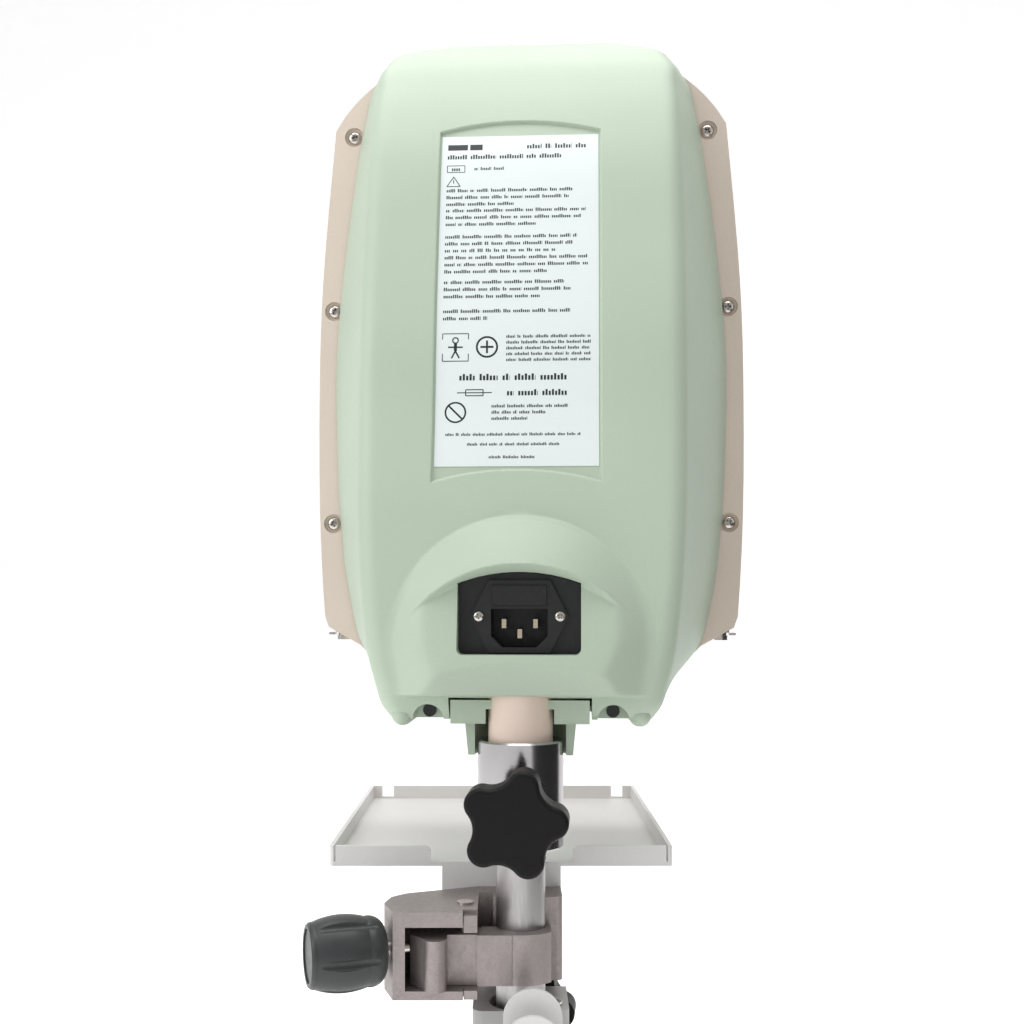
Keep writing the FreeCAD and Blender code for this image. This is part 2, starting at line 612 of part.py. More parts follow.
def make_jaw():
    """The jaw swings on the pivot pin: a half ring round the pole and a tail with a thumb column."""
    low = S.clamp_low + S.clamp_floor + S.jaw_gap
    high = S.jaw_top
    ring = level_rod(S.jaw_outer, ZERO, ZERO, low, high)
    front = level_box((-S.jaw_outer, -S.jaw_outer, low), (S.jaw_tip, S.jaw_end, high))
    # the heel stops short of where it would swing into the pole
    heel = level_box((-S.jaw_outer - 1, S.jaw_heel, low - 1), (ZERO, S.jaw_end + 1, high + 1))
    half = ring.common(front).cut(heel)
    block = level_box((S.jaw_block_left, -S.jaw_outer, low), (S.jaw_block_right, S.pivot_y + 3, high))
    boss = level_rod(S.pivot_boss, S.pivot_x, S.pivot_y, low, high)
    column_left = S.jaw_column_x - S.jaw_column
    column_right = S.jaw_column_x + S.jaw_column
    tail = plan_prism([
        (S.jaw_tail_left, S.jaw_tail_front), (S.jaw_tail_left, S.jaw_tail_back),
        (S.jaw_back_x, S.jaw_back_y), (S.pivot_x - 2, S.pivot_y + S.pivot_boss - 1),
        (S.jaw_block_left, S.pivot_y + 3), (S.jaw_block_left, S.jaw_flat), (column_right, S.jaw_flat),
        (column_right, S.jaw_column_y), (column_left, S.jaw_column_y)], low, high)
    column = level_rod(S.jaw_column, S.jaw_column_x, S.jaw_column_y, low, high)
    bores = [level_rod(S.jaw_inner, ZERO, ZERO, low - 1, high + 1),
             level_rod(S.pivot_radius + S.shaft_gap, S.pivot_x, S.pivot_y, low - 1, high + 1)]
    blank = half.fuse([block, boss, tail, column]).cut(bores)
    keep(solid("jaw_casting", blank.removeSplitter()), "clamp_jaw", True)


def barrel_shape():
    """Barrel-shaped knob along Z from its mouth, bored for the screw, with a well for its cap."""
    length, bore = S.barrel_length.value, (S.screw_radius + S.shaft_gap).value
    bore_end = S.barrel_bore.value + S.shaft_gap.value
    cap_floor = length - S.barrel_cap_depth.value

    def at(radius, height):
        return Vector(radius, 0, height)

    mouth, shoulder = at(S.barrel_mouth.value, 0), at(S.barrel_shoulder.value, S.barrel_shoulder_at.value)
    brow, rim = at(S.barrel_brow.value, S.barrel_brow_at.value), at(S.barrel_rim.value, length)
    throat = (mouth + shoulder) / 2 + at(2.2, -1.8)
    temple = (brow + rim) / 2 + at(0.3, 0.3)
    belly = at(S.barrel_radius.value, S.barrel_radius_at.value)
    straight = [rim, at(S.barrel_cap.value, length), at(S.barrel_cap.value, cap_floor), at(0, cap_floor),
                at(0, bore_end), at(bore, bore_end), at(bore, 0), mouth]
    edges = [Part.Arc(mouth, throat, shoulder).toShape(), Part.Arc(shoulder, belly, brow).toShape(),
             Part.Arc(brow, temple, rim).toShape()]
    edges += [Part.LineSegment(a, b).toShape() for a, b in zip(straight, straight[1:])]
    barrel = Part.Face(Part.Wire(edges)).revolve(Vector(), Vector(0, 0, 1), 360)
    flutes = []
    for index in range(int(S.flute_count.value)):
        turn = math.radians(S.flute_turned.value + 360 / S.flute_count.value * index)
        centre = Vector(math.cos(turn), math.sin(turn), 0) * S.flute_circle.value
        flutes.append(Part.makeCylinder(S.flute_radius.value, length + 2, centre - Vector(0, 0, 1)))
    return barrel.cut(flutes)


def make_clamp_screw():
    """Built along its own Z and laid along the screw's axis: the nose at the jaw, the knob outside."""
    head = S.screw_tip + S.barrel_start + S.barrel_bore
    cone_end = S.nose_length + S.nose_cone
    screw = turned("clamp_screw", [
        (ZERO, ZERO), (S.nose_radius, ZERO), (S.nose_radius, S.nose_length),
        (S.screw_radius, cone_end), (S.screw_radius, head), (ZERO, head)], True)
    knob = keep(solid("barrel_moulding", barrel_shape()), "clamp_knob", True)
    cap_floor = S.barrel_length - S.barrel_cap_depth
    cap_face = S.barrel_length - S.barrel_cap_sunk
    cap = turned("clamp_knob_cap", [
        (ZERO, cap_floor), (S.barrel_cap, cap_floor), (S.barrel_cap, cap_face - 0.4),
        (S.barrel_cap - 0.4, cap_face), (ZERO, cap_face)], True)
    outward = screw_direction()
    mouth = Vector(S.screw_x.value, S.screw_y.value, S.screw_height.value)
    for body, distance in ((screw, -S.screw_tip), (knob, S.barrel_start), (cap, S.barrel_start)):
        body.Placement = Placement(mouth + outward * distance.value, Rotation(Vector(0, 0, 1), outward))


# ---- lower bracket and hose hook ---------------------------------------------------------------

def make_lower_bracket():
    block = box("bracket_block", (-S.bracket_half, S.bracket_front, S.bracket_low),
                (S.bracket_half, S.bracket_back, S.bracket_high))

    def front_corner(edge):
        return upright(edge) and edge.CenterOfMass.y < 0

    casting = soften("bracket_casting", block, S.bracket_corner, front_corner)
    bore = rod("bracket_bore", S.pole_radius, (0, 0, S.bracket_low - 1), S.bracket_high)
    well = rod("bracket_top_well", S.bracket_well, (0, 0, S.bracket_high - S.bracket_well_depth),
               S.bracket_well_depth + 1)
    stud_hole = doc.addObject("Part::Cylinder", "bracket_stud_hole")
    bind(stud_hole, "Radius", S.stud_radius + S.shaft_gap)
    bind(stud_hole, "Height", S.bracket_half * 2)
    stud_hole.Placement = Placement(Vector(), Rotation(Vector(0, 0, 1), lower_star_direction()))
    put(stud_hole, (ZERO, ZERO, S.lower_star_height))
    tapped = rod("bracket_tapped_hole", S.bracket_screw_radius + 0.05,
                 (S.bracket_screw_x, S.bracket_screw_y, S.bracket_high - S.bracket_screw_length - 1),
                 S.bracket_screw_length + 2)
    foot_tap = rod("bracket_foot_hole", S.bracket_screw_radius + 0.05,
                   ((S.hook_left + S.hook_right) / 2, S.bracket_front - 1, S.hook_floor - 4), 8, "y")
    keep(cut("bracket_drilled", casting, bore, well, stud_hole, tapped, foot_tap), "lower_bracket", True)
    shank = rod("bracket_shank", S.bracket_screw_radius,
                (S.bracket_screw_x, S.bracket_screw_y, S.bracket_high - S.bracket_screw_length),
                S.bracket_screw_length)
    head = rod("bracket_head", S.bracket_screw_head, (S.bracket_screw_x, S.bracket_screw_y, S.bracket_high), 2)
    foot_y = S.bracket_front - S.hook_sheet
    foot_shank = rod("hook_shank", S.bracket_screw_radius,
                     ((S.hook_left + S.hook_right) / 2, foot_y, S.hook_floor - 4), S.hook_sheet + 2.4, "y")
    foot_head = rod("hook_head", S.bracket_screw_head,
                    ((S.hook_left + S.hook_right) / 2, foot_y - 2, S.hook_floor - 4), 2, "y")
    return [fuse("bracket_screw_top", shank, head), fuse("bracket_screw_foot", foot_shank, foot_head)]


def make_hook():
    """Bent sheet: a foot on the bracket, a floor, and two upright tabs with round tops."""
    half = (S.hook_right - S.hook_left) / 2
    middle = (S.hook_left + S.hook_right) / 2
    pieces = [box("hook_foot", (S.hook_left, S.bracket_front - S.hook_sheet, S.hook_floor - 8),
                  (S.hook_right, S.bracket_front, S.hook_floor + S.hook_sheet)),
              box("hook_base", (S.hook_left, S.hook_front, S.hook_floor),
                  (S.hook_right, S.bracket_front, S.hook_floor + S.hook_sheet))]
    for name, back, top in (("mid", S.hook_mid, S.hook_high), ("near", S.hook_front, S.hook_near_high)):
        pieces.append(box(f"hook_{name}_tab", (S.hook_left, back, S.hook_floor),
                          (S.hook_right, back + S.hook_sheet, top - half)))
        pieces.append(rod(f"hook_{name}_round", half, (middle, back, top - half), S.hook_sheet, "y"))
    hole = rod("hook_foot_hole", S.bracket_screw_radius + 0.05,
               (middle, S.bracket_front - S.hook_sheet - 1, S.hook_floor - 4), S.hook_sheet + 2, "y")
    keep(cut("hook_drilled", fuse("hook_bent", *pieces), hole), "hose_hook", True)


# ---- rear shell --------------------------------------------------------------------------------

def station(name, word):
    return sheet.get(f"{name}_{word}")


def shell_wire(height, back_half, seam_half, back_y, seam_y):
    """One level section: flat back, rounded corners, sides that flare to the seam."""
    corner = Vector(back_half, back_y, 0)
    seam = Vector(seam_half, seam_y, 0)
    side = (seam - corner).normalize()
    inward = Vector(-1, 0, 0)
    opening = side.getAngle(inward)
    radius = min(S.shell_corner.value, 0.4 * (seam_y - back_y))
    reach = radius / math.tan(opening / 2)
    middle = (side + inward).normalize() * (radius / math.sin(opening / 2) - radius)
    on_side, on_arc, on_back = corner + side * reach, corner + middle, corner + inward * reach

    def right(point):
        return Vector(point.x, point.y, height)

    def left(point):
        return Vector(-point.x, point.y, height)

    edges = [
        Part.LineSegment(right(seam), right(on_side)).toShape(),
        Part.Arc(right(on_side), right(on_arc), right(on_back)).toShape(),
        Part.LineSegment(right(on_back), left(on_back)).toShape(),
        Part.Arc(left(on_back), left(on_arc), left(on_side)).toShape(),
        Part.LineSegment(left(on_side), left(seam)).toShape(),
        Part.LineSegment(left(seam), right(seam)).toShape(),
    ]
    return Part.Wire(edges)


def shell_solid(inset, seam_y, sink=0.0):
    """The shell's outside (inset 0) or its hollow (inset = wall), sunk along +Y if asked."""
    heights = [station(name, "height") for name in SHELL_STATIONS]
    bottom, top = heights[0], heights[-1]
    wires = []
    for name in SHELL_STATIONS:
        height = station(name, "height")
        share = (height - bottom) / (top - bottom)
        wires.append(shell_wire(
            height + inset * (1 - 2 * share), station(name, "back_half") - inset,
            station(name, "seam_half") - inset, station(name, "back_y") + inset + sink, seam_y + sink))
    return Part.makeLoft(wires, True, False)


def arched_prism(half, low, high, rise, front, back, low_rise=0.0):
    """A slab in Y whose top edge, and bottom edge if asked, arch upwards."""
    corners = [Vector(-half, front, low), Vector(half, front, low), Vector(half, front, high),
               Vector(-half, front, high)]
    if low_rise:
        bottom = Part.Arc(corners[0], Vector(0, front, low + low_rise), corners[1]).toShape()
    else:
        bottom = Part.LineSegment(corners[0], corners[1]).toShape()
    top = Part.Arc(corners[2], Vector(0, front, high + rise), corners[3]).toShape()
    wire = Part.Wire([bottom, Part.LineSegment(corners[1], corners[2]).toShape(), top,
                      Part.LineSegment(corners[3], corners[0]).toShape()])
    return Part.Face(wire).extrude(Vector(0, back - front, 0))


def hood_wire(inset, y):
    """Round-topped outline of the inlet hood, smaller by inset."""
    radius = S.hood_radius.value - inset
    centre = S.hood_centre.value
    foot = S.hood_foot.value + 0.6 * inset
    foot_half = S.hood_foot_half.value - inset
    spring = centre + 4
    across = math.sqrt(radius ** 2 - 4 ** 2)
    return Part.Wire([
        Part.LineSegment(Vector(-foot_half, y, foot), Vector(foot_half, y, foot)).toShape(),
        Part.LineSegment(Vector(foot_half, y, foot), Vector(across, y, spring)).toShape(),
        Part.Arc(Vector(across, y, spring), Vector(0, y, centre + radius), Vector(-across, y, spring)).toShape(),
        Part.LineSegment(Vector(-across, y, spring), Vector(-foot_half, y, foot)).toShape(),
    ])


def make_rear_shell():
    seam = S.shell_front.value
    outside = shell_solid(0, seam)
    inside = shell_solid(S.shell_wall.value, seam + 5)
    hood_root = 6.0
    hood = Part.makeLoft([hood_wire(0, hood_root), hood_wire(0, -6.0),
                          hood_wire(S.hood_slope.value, S.hood_front.value)], True, True)
    hood = hood.cut(inside)
    shell = outside.cut(inside).fuse(hood)
    for side in (-1, 1):
        x = side * S.nub_x.value
        nub = Part.makeCylinder(S.nub_radius.value, S.nub_length.value, Vector(x, -2, S.nub_z.value),
                                Vector(0, 1, 0))
        cup = Part.makeBox(2 * S.pocket_wall.value, 12, S.pocket_wall.value + 1,
                           Vector(side * S.pocket_x.value - S.pocket_wall.value, -2, 222.5))
        shell = shell.fuse([nub.cut(inside), cup])
    shell = shell.cut([
        Part.makeCylinder(S.pocket_radius.value, S.pocket_depth.value + 20,
                          Vector(side * S.pocket_x.value, -20, 222), Vector(0, 1, 0)) for side in (-1, 1)])
    shell = shell.cut([
        Part.makeCylinder(S.housing_screw_radius.value + 0.05, 30,
                          Vector(side * S.pocket_x.value, -10, 225.5), Vector(0, 1, 0)) for side in (-1, 1)])
    face = arched_prism(S.face_half.value, S.face_low.value, S.face_side_high.value,
                        S.face_high.value - S.face_side_high.value, -60, S.face_y.value, 4.0)
    window = arched_prism(S.window_half.value, S.window_low.value, S.window_side.value,
                          S.window_high.value - S.window_side.value, -60, 30)
    recess = arched_prism(S.recess_half.value, S.recess_low.value, S.recess_high.value,
                          S.recess_rise.value, -60, 70, 5.5)
    sunk = shell_solid(0, seam, S.recess_depth.value)
    post_way = Part.makeCylinder(S.post_notch.value, 33, Vector(0, 0, 214))
    block_way = Part.makeBox(2 * S.bottom_cut_half.value, S.bottom_cut_back.value + 20,
                             S.bottom_cut_top.value - 210, Vector(-S.bottom_cut_half.value, -20, 210))
    shell = shell.cut([face, window, post_way, block_way]).cut(recess.cut(sunk))
    keep(solid("rear_shell_moulding", shell.removeSplitter()), "rear_shell")


def make_label():
    """A printed sheet that lies on the floor of the recess."""
    depth, sheet_depth = S.recess_depth.value, S.label_sheet.value
    seam = S.shell_front.value
    outer = shell_solid(0, seam, depth - sheet_depth)
    inner = shell_solid(0, seam, depth - 0.02)
    patch = arched_prism(S.label_half.value, S.label_low.value, S.label_high.value,
                         S.recess_rise.value * 0.5, -60, 70)
    keep(solid("label_sheet_stock", patch.common(outer).cut(inner)), "rating_label")


# ---- base block and neck -----------------------------------------------------------------------

def make_base():
    flange = box("base_flange", (-S.base_half, S.base_front, S.base_low), (S.base_half, S.base_back, S.base_step))
    saddle = box("base_saddle", (-S.base_upper_half, S.base_upper_front, S.base_step),
                 (S.base_upper_half, S.base_back, S.base_top))
    notch = rod("base_notch", S.post_notch, (0, 0, S.base_low - 1), S.base_step - S.base_low - 3)
    bore = rod("base_bore", S.post_radius, (0, 0, S.base_low - 1), S.base_top)
    cross = [rod(f"base_bolt_hole_{index}", S.housing_screw_radius + 0.05,
                 (x, S.base_back - 16, 238.5), 18, "y")
             for index, x in enumerate((-(S.post_radius + 5), S.post_radius + 5))]
    keep(cut("base_machined", fuse("base_blank", flange, saddle), notch, bore, *cross), "base_block")
    screws = []
    for side, x in (("left", -S.pocket_x), ("right", S.pocket_x)):
        face = S.pocket_depth
        head = rod(f"base_{side}_head", S.base_screw_head, (x, face - 2, 225.5), 2, "y")
        shank = rod(f"base_{side}_shank", S.housing_screw_radius, (x, face, 225.5), S.base_screw_length, "y")
        screws.append(fuse(f"base_{side}_screw", head, shank))
    for side, x in (("left", -(S.post_radius + 5)), ("right", S.post_radius + 5)):
        shank = rod(f"saddle_{side}_shank", S.housing_screw_radius, (x, S.base_back - 15, 238.5), 15, "y")
        head = rod(f"saddle_{side}_head", S.housing_screw_head, (x, S.base_back, 238.5), 2.5, "y")
        screws.append(fuse(f"saddle_{side}_bolt", shank, head))
    keep(group("base_screw_set", *screws), "base_screws")


def make_shroud():
    """Half collar behind the post, flaring up to the base block."""
    low, high = S.shroud_low.value, S.base_low.value
    flare = Part.makeCone(S.shroud_outer.value, S.shroud_flare.value, high - low, Vector(0, 0, low))
    bore = Part.makeCylinder(S.shroud_inner.value, high - low + 2, Vector(0, 0, low - 1))
    front = Part.makeBox(100, 50, 40, Vector(-50, S.shroud_front.value - 50, low - 5))
    keep(solid("shroud_moulding", flare.cut([bore, front])), "neck_shroud")


# ---- mains inlet -------------------------------------------------------------------------------

def make_inlet():
    slack = S.panel_slack.value
    panel = arched_prism(S.window_half.value - slack, S.window_low.value + slack,
                         S.window_side.value - slack, S.window_high.value - S.window_side.value,
                         S.panel_y.value, S.panel_y.value + S.panel_sheet.value)
    hole = Part.makeBox(2 * S.inlet_half.value, 10, S.inlet_high.value - S.inlet_low.value,
                        Vector(-S.inlet_half.value, S.panel_y.value - 4, S.inlet_low.value))
    panel_back = S.panel_y.value + S.panel_sheet.value
    screw_ways = [Part.makeCylinder(S.inlet_screw_radius.value + 0.05, 12,
                                    Vector(side * S.inlet_screw_x.value, panel_back - 6, S.inlet_height.value),
                                    Vector(0, 1, 0)) for side in (-1, 1)]
    keep(solid("panel_stock", panel.cut([hole] + screw_ways)), "inlet_panel")

    housing = start("inlet_housing")
    flange_face = S.flange_sheet - S.panel_y
    height = S.inlet_height
    tips = [(-S.flange_tip, height), (-S.flange_half, height - S.flange_rise),
            (S.flange_half, height - S.flange_rise), (S.flange_tip, height),
            (S.flange_half, height + S.flange_rise), (-S.flange_half, height + S.flange_rise)]
    pad(housing, outline(sketch(housing, "XZ_Plane", -S.panel_y), tips), S.flange_sheet)
    block = [(-S.inlet_half, S.inlet_low), (S.inlet_half, S.inlet_low), (S.inlet_half, S.inlet_high),
             (-S.inlet_half, S.inlet_high)]
    pad(housing, outline(sketch(housing, "XZ_Plane", -S.inlet_back), block), S.inlet_back - S.panel_y)
    bevel_top = S.socket_low + S.socket_bevel
    bevel_side = S.socket_half - S.socket_bevel
    socket = [(-S.socket_half, S.socket_high), (-S.socket_half, bevel_top), (-bevel_side, S.socket_low),
              (bevel_side, S.socket_low), (S.socket_half, bevel_top), (S.socket_half, S.socket_high)]
    pocket(housing, outline(sketch(housing, "XZ_Plane", flange_face), socket), flange_face + S.socket_back)
    slot = [(-S.drawer_half - 0.1, S.drawer_low - 0.1), (S.drawer_half + 0.1, S.drawer_low - 0.1),
            (S.drawer_half + 0.1, S.drawer_high + 0.1), (-S.drawer_half - 0.1, S.drawer_high + 0.1)]
    pocket(housing, outline(sketch(housing, "XZ_Plane", flange_face), slot), flange_face + S.drawer_back + 0.3)
    for side in (-1, 1):
        pocket(housing, circle(sketch(housing, "XZ_Plane", flange_face), S.inlet_screw_radius + 0.05,
                               S.inlet_screw_x * side, height), S.flange_sheet + 1)
    for x, z in ((-S.pin_half_gap, S.pin_z), (ZERO, S.earth_z), (S.pin_half_gap, S.pin_z)):
        hole = [(x - S.pin_width / 2, z - S.pin_rise / 2), (x + S.pin_width / 2, z - S.pin_rise / 2),
                (x + S.pin_width / 2, z + S.pin_rise / 2), (x - S.pin_width / 2, z + S.pin_rise / 2)]
        pocket(housing, outline(sketch(housing, "XZ_Plane", -S.socket_back), hole),
               S.pin_back - S.socket_back)
    contacts = [box(f"contact_{index}", (x - S.pin_width / 2, S.pin_front, z - S.pin_rise / 2),
                    (x + S.pin_width / 2, S.pin_back, z + S.pin_rise / 2))
                for index, (x, z) in enumerate(((-S.pin_half_gap, S.pin_z), (ZERO, S.earth_z),
                                                (S.pin_half_gap, S.pin_z)))]
    keep(group("contact_set", *contacts), "inlet_contacts")
    screws = []
    for side, x in (("left", -S.inlet_screw_x), ("right", S.inlet_screw_x)):
        face = S.panel_y - S.flange_sheet
        head = rod(f"inlet_{side}_head", S.inlet_screw_head, (x, face - 1.2, height), 1.2, "y")
        shank = rod(f"inlet_{side}_shank", S.inlet_screw_radius, (x, face, height), S.inlet_screw_length, "y")
        screws.append(fuse(f"inlet_{side}_screw", head, shank))
    keep(group("inlet_screw_pair", *screws), "inlet_screws")


def make_drawer():
    tray_blank = box("drawer_blank", (-S.drawer_half, S.drawer_front, S.drawer_low),
                     (S.drawer_half, S.drawer_back, S.drawer_high))
    fuses = []
    cradles = []
    height = (S.drawer_low + S.drawer_high) / 2 + 0.4
    fuse_start = S.drawer_front + 6
    for side, x in (("left", -S.fuse_x), ("right", S.fuse_x)):
        fuses.append(rod(f"fuse_{side}", S.fuse_radius, (x, fuse_start, height), S.fuse_length, "y"))
        cradles.append(rod(f"cradle_{side}", S.fuse_radius + 0.1, (x, fuse_start - 0.1, height),
                           S.fuse_length + 0.2, "y"))
        cradles.append(box(f"cradle_mouth_{side}", (x - 2.6, fuse_start - 0.1, height),
                           (x + 2.6, fuse_start + S.fuse_length + 0.1, S.drawer_high + 1)))
    keep(cut("drawer_body", tray_blank, *cradles), "fuse_drawer")
    keep(group("fuse_pair", *fuses), "fuses")


# ---- front housing, bezel, display, keys -------------------------------------------------------

def housing_wire(inset, y):
    """Outline of the wings, smaller by inset."""
    right = []
    middle_z = (sheet.get("keel_up") + sheet.get("peak_up")) / 2
    half_z = (sheet.get("peak_up") - sheet.get("keel_up")) / 2
    for name in HOUSING_STATIONS:
        across, up = sheet.get(f"{name}_across"), sheet.get(f"{name}_up")
        scale_x = (across - inset) if across > 0 else 0
        scale_z = middle_z + (up - middle_z) * (half_z - inset) / half_z
        right.append(Vector(scale_x, y, scale_z))
    names = list(HOUSING_STATIONS)
    cheek, corner = names.index("cheek"), names.index("corner")
    left = [Vector(-point.x, y, point.z) for point in right]

    def straight(points):
        return [Part.LineSegment(a, b).toShape() for a, b in zip(points, points[1:])]

    def spline(points):
        curve = Part.BSplineCurve()
        curve.interpolate(points)
        return [curve.toShape()]

    edges = straight([left[0], *right[:cheek + 1]])
    edges += spline(right[cheek:corner + 1])
    edges += straight(right[corner:corner + 2])
    edges += spline(right[corner + 1:] + left[corner + 1:-1][::-1])
    edges += straight(left[corner:corner + 2][::-1])
    edges += spline(left[cheek:corner + 1][::-1])
    edges += straight(left[:cheek + 1][::-1])
    return Part.Wire(edges)


HOUSING_SCREWS = ((92.4, 518.6), (103, 427), (103.5, 315))


def housing_screw_places():
    return [(side * across, up) for side in (-1, 1) for across, up in HOUSING_SCREWS]


def port_places():
    return [side * S.port_x.value for side in (-1, 1)]


def make_front_housing():
    back, front, wall = S.housing_back.value, S.housing_front.value, S.housing_wall.value
    body = Part.Face(housing_wire(0, back)).extrude(Vector(0, front - back, 0))
    hollow = Part.Face(housing_wire(wall, back + wall)).extrude(Vector(0, front, 0))
    opening = Part.makeBox(2 * S.opening_half.value, 20, S.opening_high.value - S.opening_low.value,
                           Vector(-S.opening_half.value, back - 5, S.opening_low.value))
    tools = [hollow, opening]
    bosses = []
    for x, z in housing_screw_places():
        at = Vector(x, back, z)
        bosses.append(Part.makeCylinder(S.housing_pocket.value + 1, front - back, at, Vector(0, 1, 0)))
    body = body.cut(tools)
    outer = Part.Face(housing_wire(0.2, back)).extrude(Vector(0, front - back, 0))
    body = body.fuse([boss.common(outer) for boss in bosses])
    ways = []
    for x, z in housing_screw_places():
        ways.append(Part.makeCylinder(S.housing_pocket.value, S.housing_pocket_depth.value + 1,
                                      Vector(x, back - 1, z), Vector(0, 1, 0)))
        ways.append(Part.makeCylinder(S.housing_screw_radius.value + 0.05, S.housing_screw_length.value + 1,
                                      Vector(x, back, z), Vector(0, 1, 0)))
    for x in port_places():
        ways.append(Part.makeCylinder(S.port_radius.value + 0.05, 40, Vector(x, S.port_y.value, 240)))
    keep(solid("front_housing_moulding", body.cut(ways).removeSplitter()), "front_housing")
    screws = []
    for x, z in housing_screw_places():
        floor = back + S.housing_pocket_depth.value
        head = Part.makeCylinder(S.housing_screw_head.value, 1.8, Vector(x, floor - 1.8, z), Vector(0, 1, 0))
        shank = Part.makeCylinder(S.housing_screw_radius.value, S.housing_screw_length.value - 3,
                                  Vector(x, floor, z), Vector(0, 1, 0))
        screws.append(head.fuse(shank))
    keep(solid("housing_screw_set", Part.makeCompound(screws)), "housing_screws")


def key_places():
    """Centre of each key: four under each display and the power key below them all."""
    places = {}
    for side, sign in (("left", 1), ("right", -1)):
        for word, x, z in (("inflate", S.key_outer_x, S.key_row_high), ("deflate", S.key_outer_x, S.key_row_low),
                           ("up", S.key_inner_x, S.key_row_high), ("down", S.key_inner_x, S.key_row_low)):
            places[f"{side}_{word}"] = (x * sign, z)
    places["power"] = (ZERO, S.key_low_row)
    return places


def make_bezel():
    back, front, edge = S.bezel_back.value, S.bezel_front.value, S.bezel_edge.value
    body = Part.makeLoft([housing_wire(0, back), housing_wire(0, front - edge), housing_wire(edge, front)],
                         True, True)
    hollow = Part.Face(housing_wire(S.housing_wall.value + edge, back - 1)).extrude(
        Vector(0, front - edge - back + 1, 0))
    tools = [hollow]
    for side in (-1, 1):
        x = side * S.display_x.value
        for inset, depth in ((0, S.display_sheet.value), (S.screen_lip.value, 20)):
            half = S.display_half.value - inset
            tools.append(Part.makeBox(2 * half, depth, S.display_high.value - S.display_low.value - 2 * inset,
                                      Vector(x - half, front - depth, S.display_low.value + inset)))
    for x, z in key_places().values():
        half, rise = S.key_half.value + S.running_gap.value, S.key_rise.value + S.running_gap.value
        tools.append(Part.makeBox(2 * half, 20, 2 * rise, Vector(x.value - half, front - 10, z.value - rise)))
    keep(solid("bezel_moulding", body.cut(tools).removeSplitter()), "front_bezel")


def make_displays():
    front = S.bezel_front
    windows = []
    modules = []
    inner_face = S.bezel_front - S.bezel_edge
    for side, x in (("right", -S.display_x), ("left", S.display_x)):
        windows.append(box(f"window_{side}", (x - S.display_half, front - S.display_sheet, S.display_low),
                           (x + S.display_half, front - 0.2, S.display_high)))
        modules.append(box(f"module_{side}", (x - S.display_half, inner_face - S.module_depth, S.display_low),
                           (x + S.display_half, inner_face, S.display_high)))
    keep(group("window_pair", *windows), "display_windows")
    keep(group("module_pair", *modules), "display_modules")


def make_keys():
    """Each key has a cap through the bezel, a flange behind it and a stem towards the key board."""
    front = S.bezel_front
    behind = S.bezel_front - S.bezel_edge
    for name, (x, z) in key_places().items():
        cap = box(f"{name}_cap", (x - S.key_half, behind - S.key_flange_sheet, z - S.key_rise),
                  (x + S.key_half, front + S.key_proud, z + S.key_rise))

        def front_rim(edge):
            return edge.CenterOfMass.y > (S.bezel_front + S.key_proud).value - 1e-4

        rounded = soften(f"{name}_rounded", cap, S.key_edge, front_rim)
        flange = box(f"{name}_flange", (x - S.key_half - S.key_flange, behind - S.key_flange_sheet - 0.05,
                                        z - S.key_rise - S.key_flange),
                     (x + S.key_half + S.key_flange, behind - 0.05, z + S.key_rise + S.key_flange))
        stem = rod(f"{name}_stem", S.key_stem_radius, (x, behind - S.key_stem, z), S.key_stem - 0.5, "y")
        keep(fuse(f"{name}_moulding", rounded, flange, stem), f"{name}_key")
    board_top = S.key_row_high + 16
    board_low = S.key_low_row - 14
    keep(box("key_board_stock", (-S.key_outer_x - 12, S.key_board_y, board_low),
             (S.key_outer_x + 12, S.key_board_y + S.key_board_sheet, board_top)), "key_board")


def make_ports():
    """Hose couplings that stick out under the wings, each with a spring latch on its inner side."""
    for side, x in (("right", -S.port_x), ("left", S.port_x)):
        body = turned(f"{side}_hose_port", [
            (S.port_bore, S.port_low), (S.port_radius - 1, S.port_low), (S.port_radius - 1, S.port_low + 2.4),
            (S.port_radius - 1.6, S.port_low + 2.4), (S.port_radius - 1.6, S.port_low + 4),
            (S.port_radius, S.port_low + 4), (S.port_radius, S.port_high), (S.port_bore, S.port_high)])
        put(body, (x, S.port_y, ZERO))
        groove = S.port_low + 2.4
        near, far = (-S.latch_reach, -S.latch_gap) if side == "right" else (S.latch_gap, S.latch_reach)
        keep(box(f"{side}_latch_tab", (x + near, S.port_y - S.latch_half, groove + 0.15),
                 (x + far, S.port_y + S.latch_half, groove + 1.45)), f"{side}_port_latch")


# ---- inside ------------------------------------------------------------------------------------

def make_chassis():
    plate = box("chassis_web_plate", (-S.chassis_half, S.chassis_y, S.chassis_low),
                (S.chassis_half, S.chassis_y + S.chassis_sheet, S.chassis_high))
    foot = box("chassis_foot", (-S.base_upper_half, S.base_back + 3, S.chassis_low - 16),
               (S.base_upper_half, S.chassis_y + S.chassis_sheet, S.chassis_low - 14))
    web = box("chassis_web", (-S.base_upper_half, S.chassis_y, S.chassis_low - 16),
              (S.base_upper_half, S.chassis_y + S.chassis_sheet, S.chassis_low))
    keep(fuse("chassis_bent", plate, foot, web), "chassis_plate")
    keep(box("supply_case", (-S.supply_half, S.chassis_y - S.supply_depth, S.supply_low),
             (S.supply_half, S.chassis_y, S.supply_high)), "power_supply")
    keep(box("battery_case", (-S.battery_half, S.chassis_y - S.battery_depth, S.battery_low),
             (S.battery_half, S.chassis_y, S.battery_high)), "battery_pack")


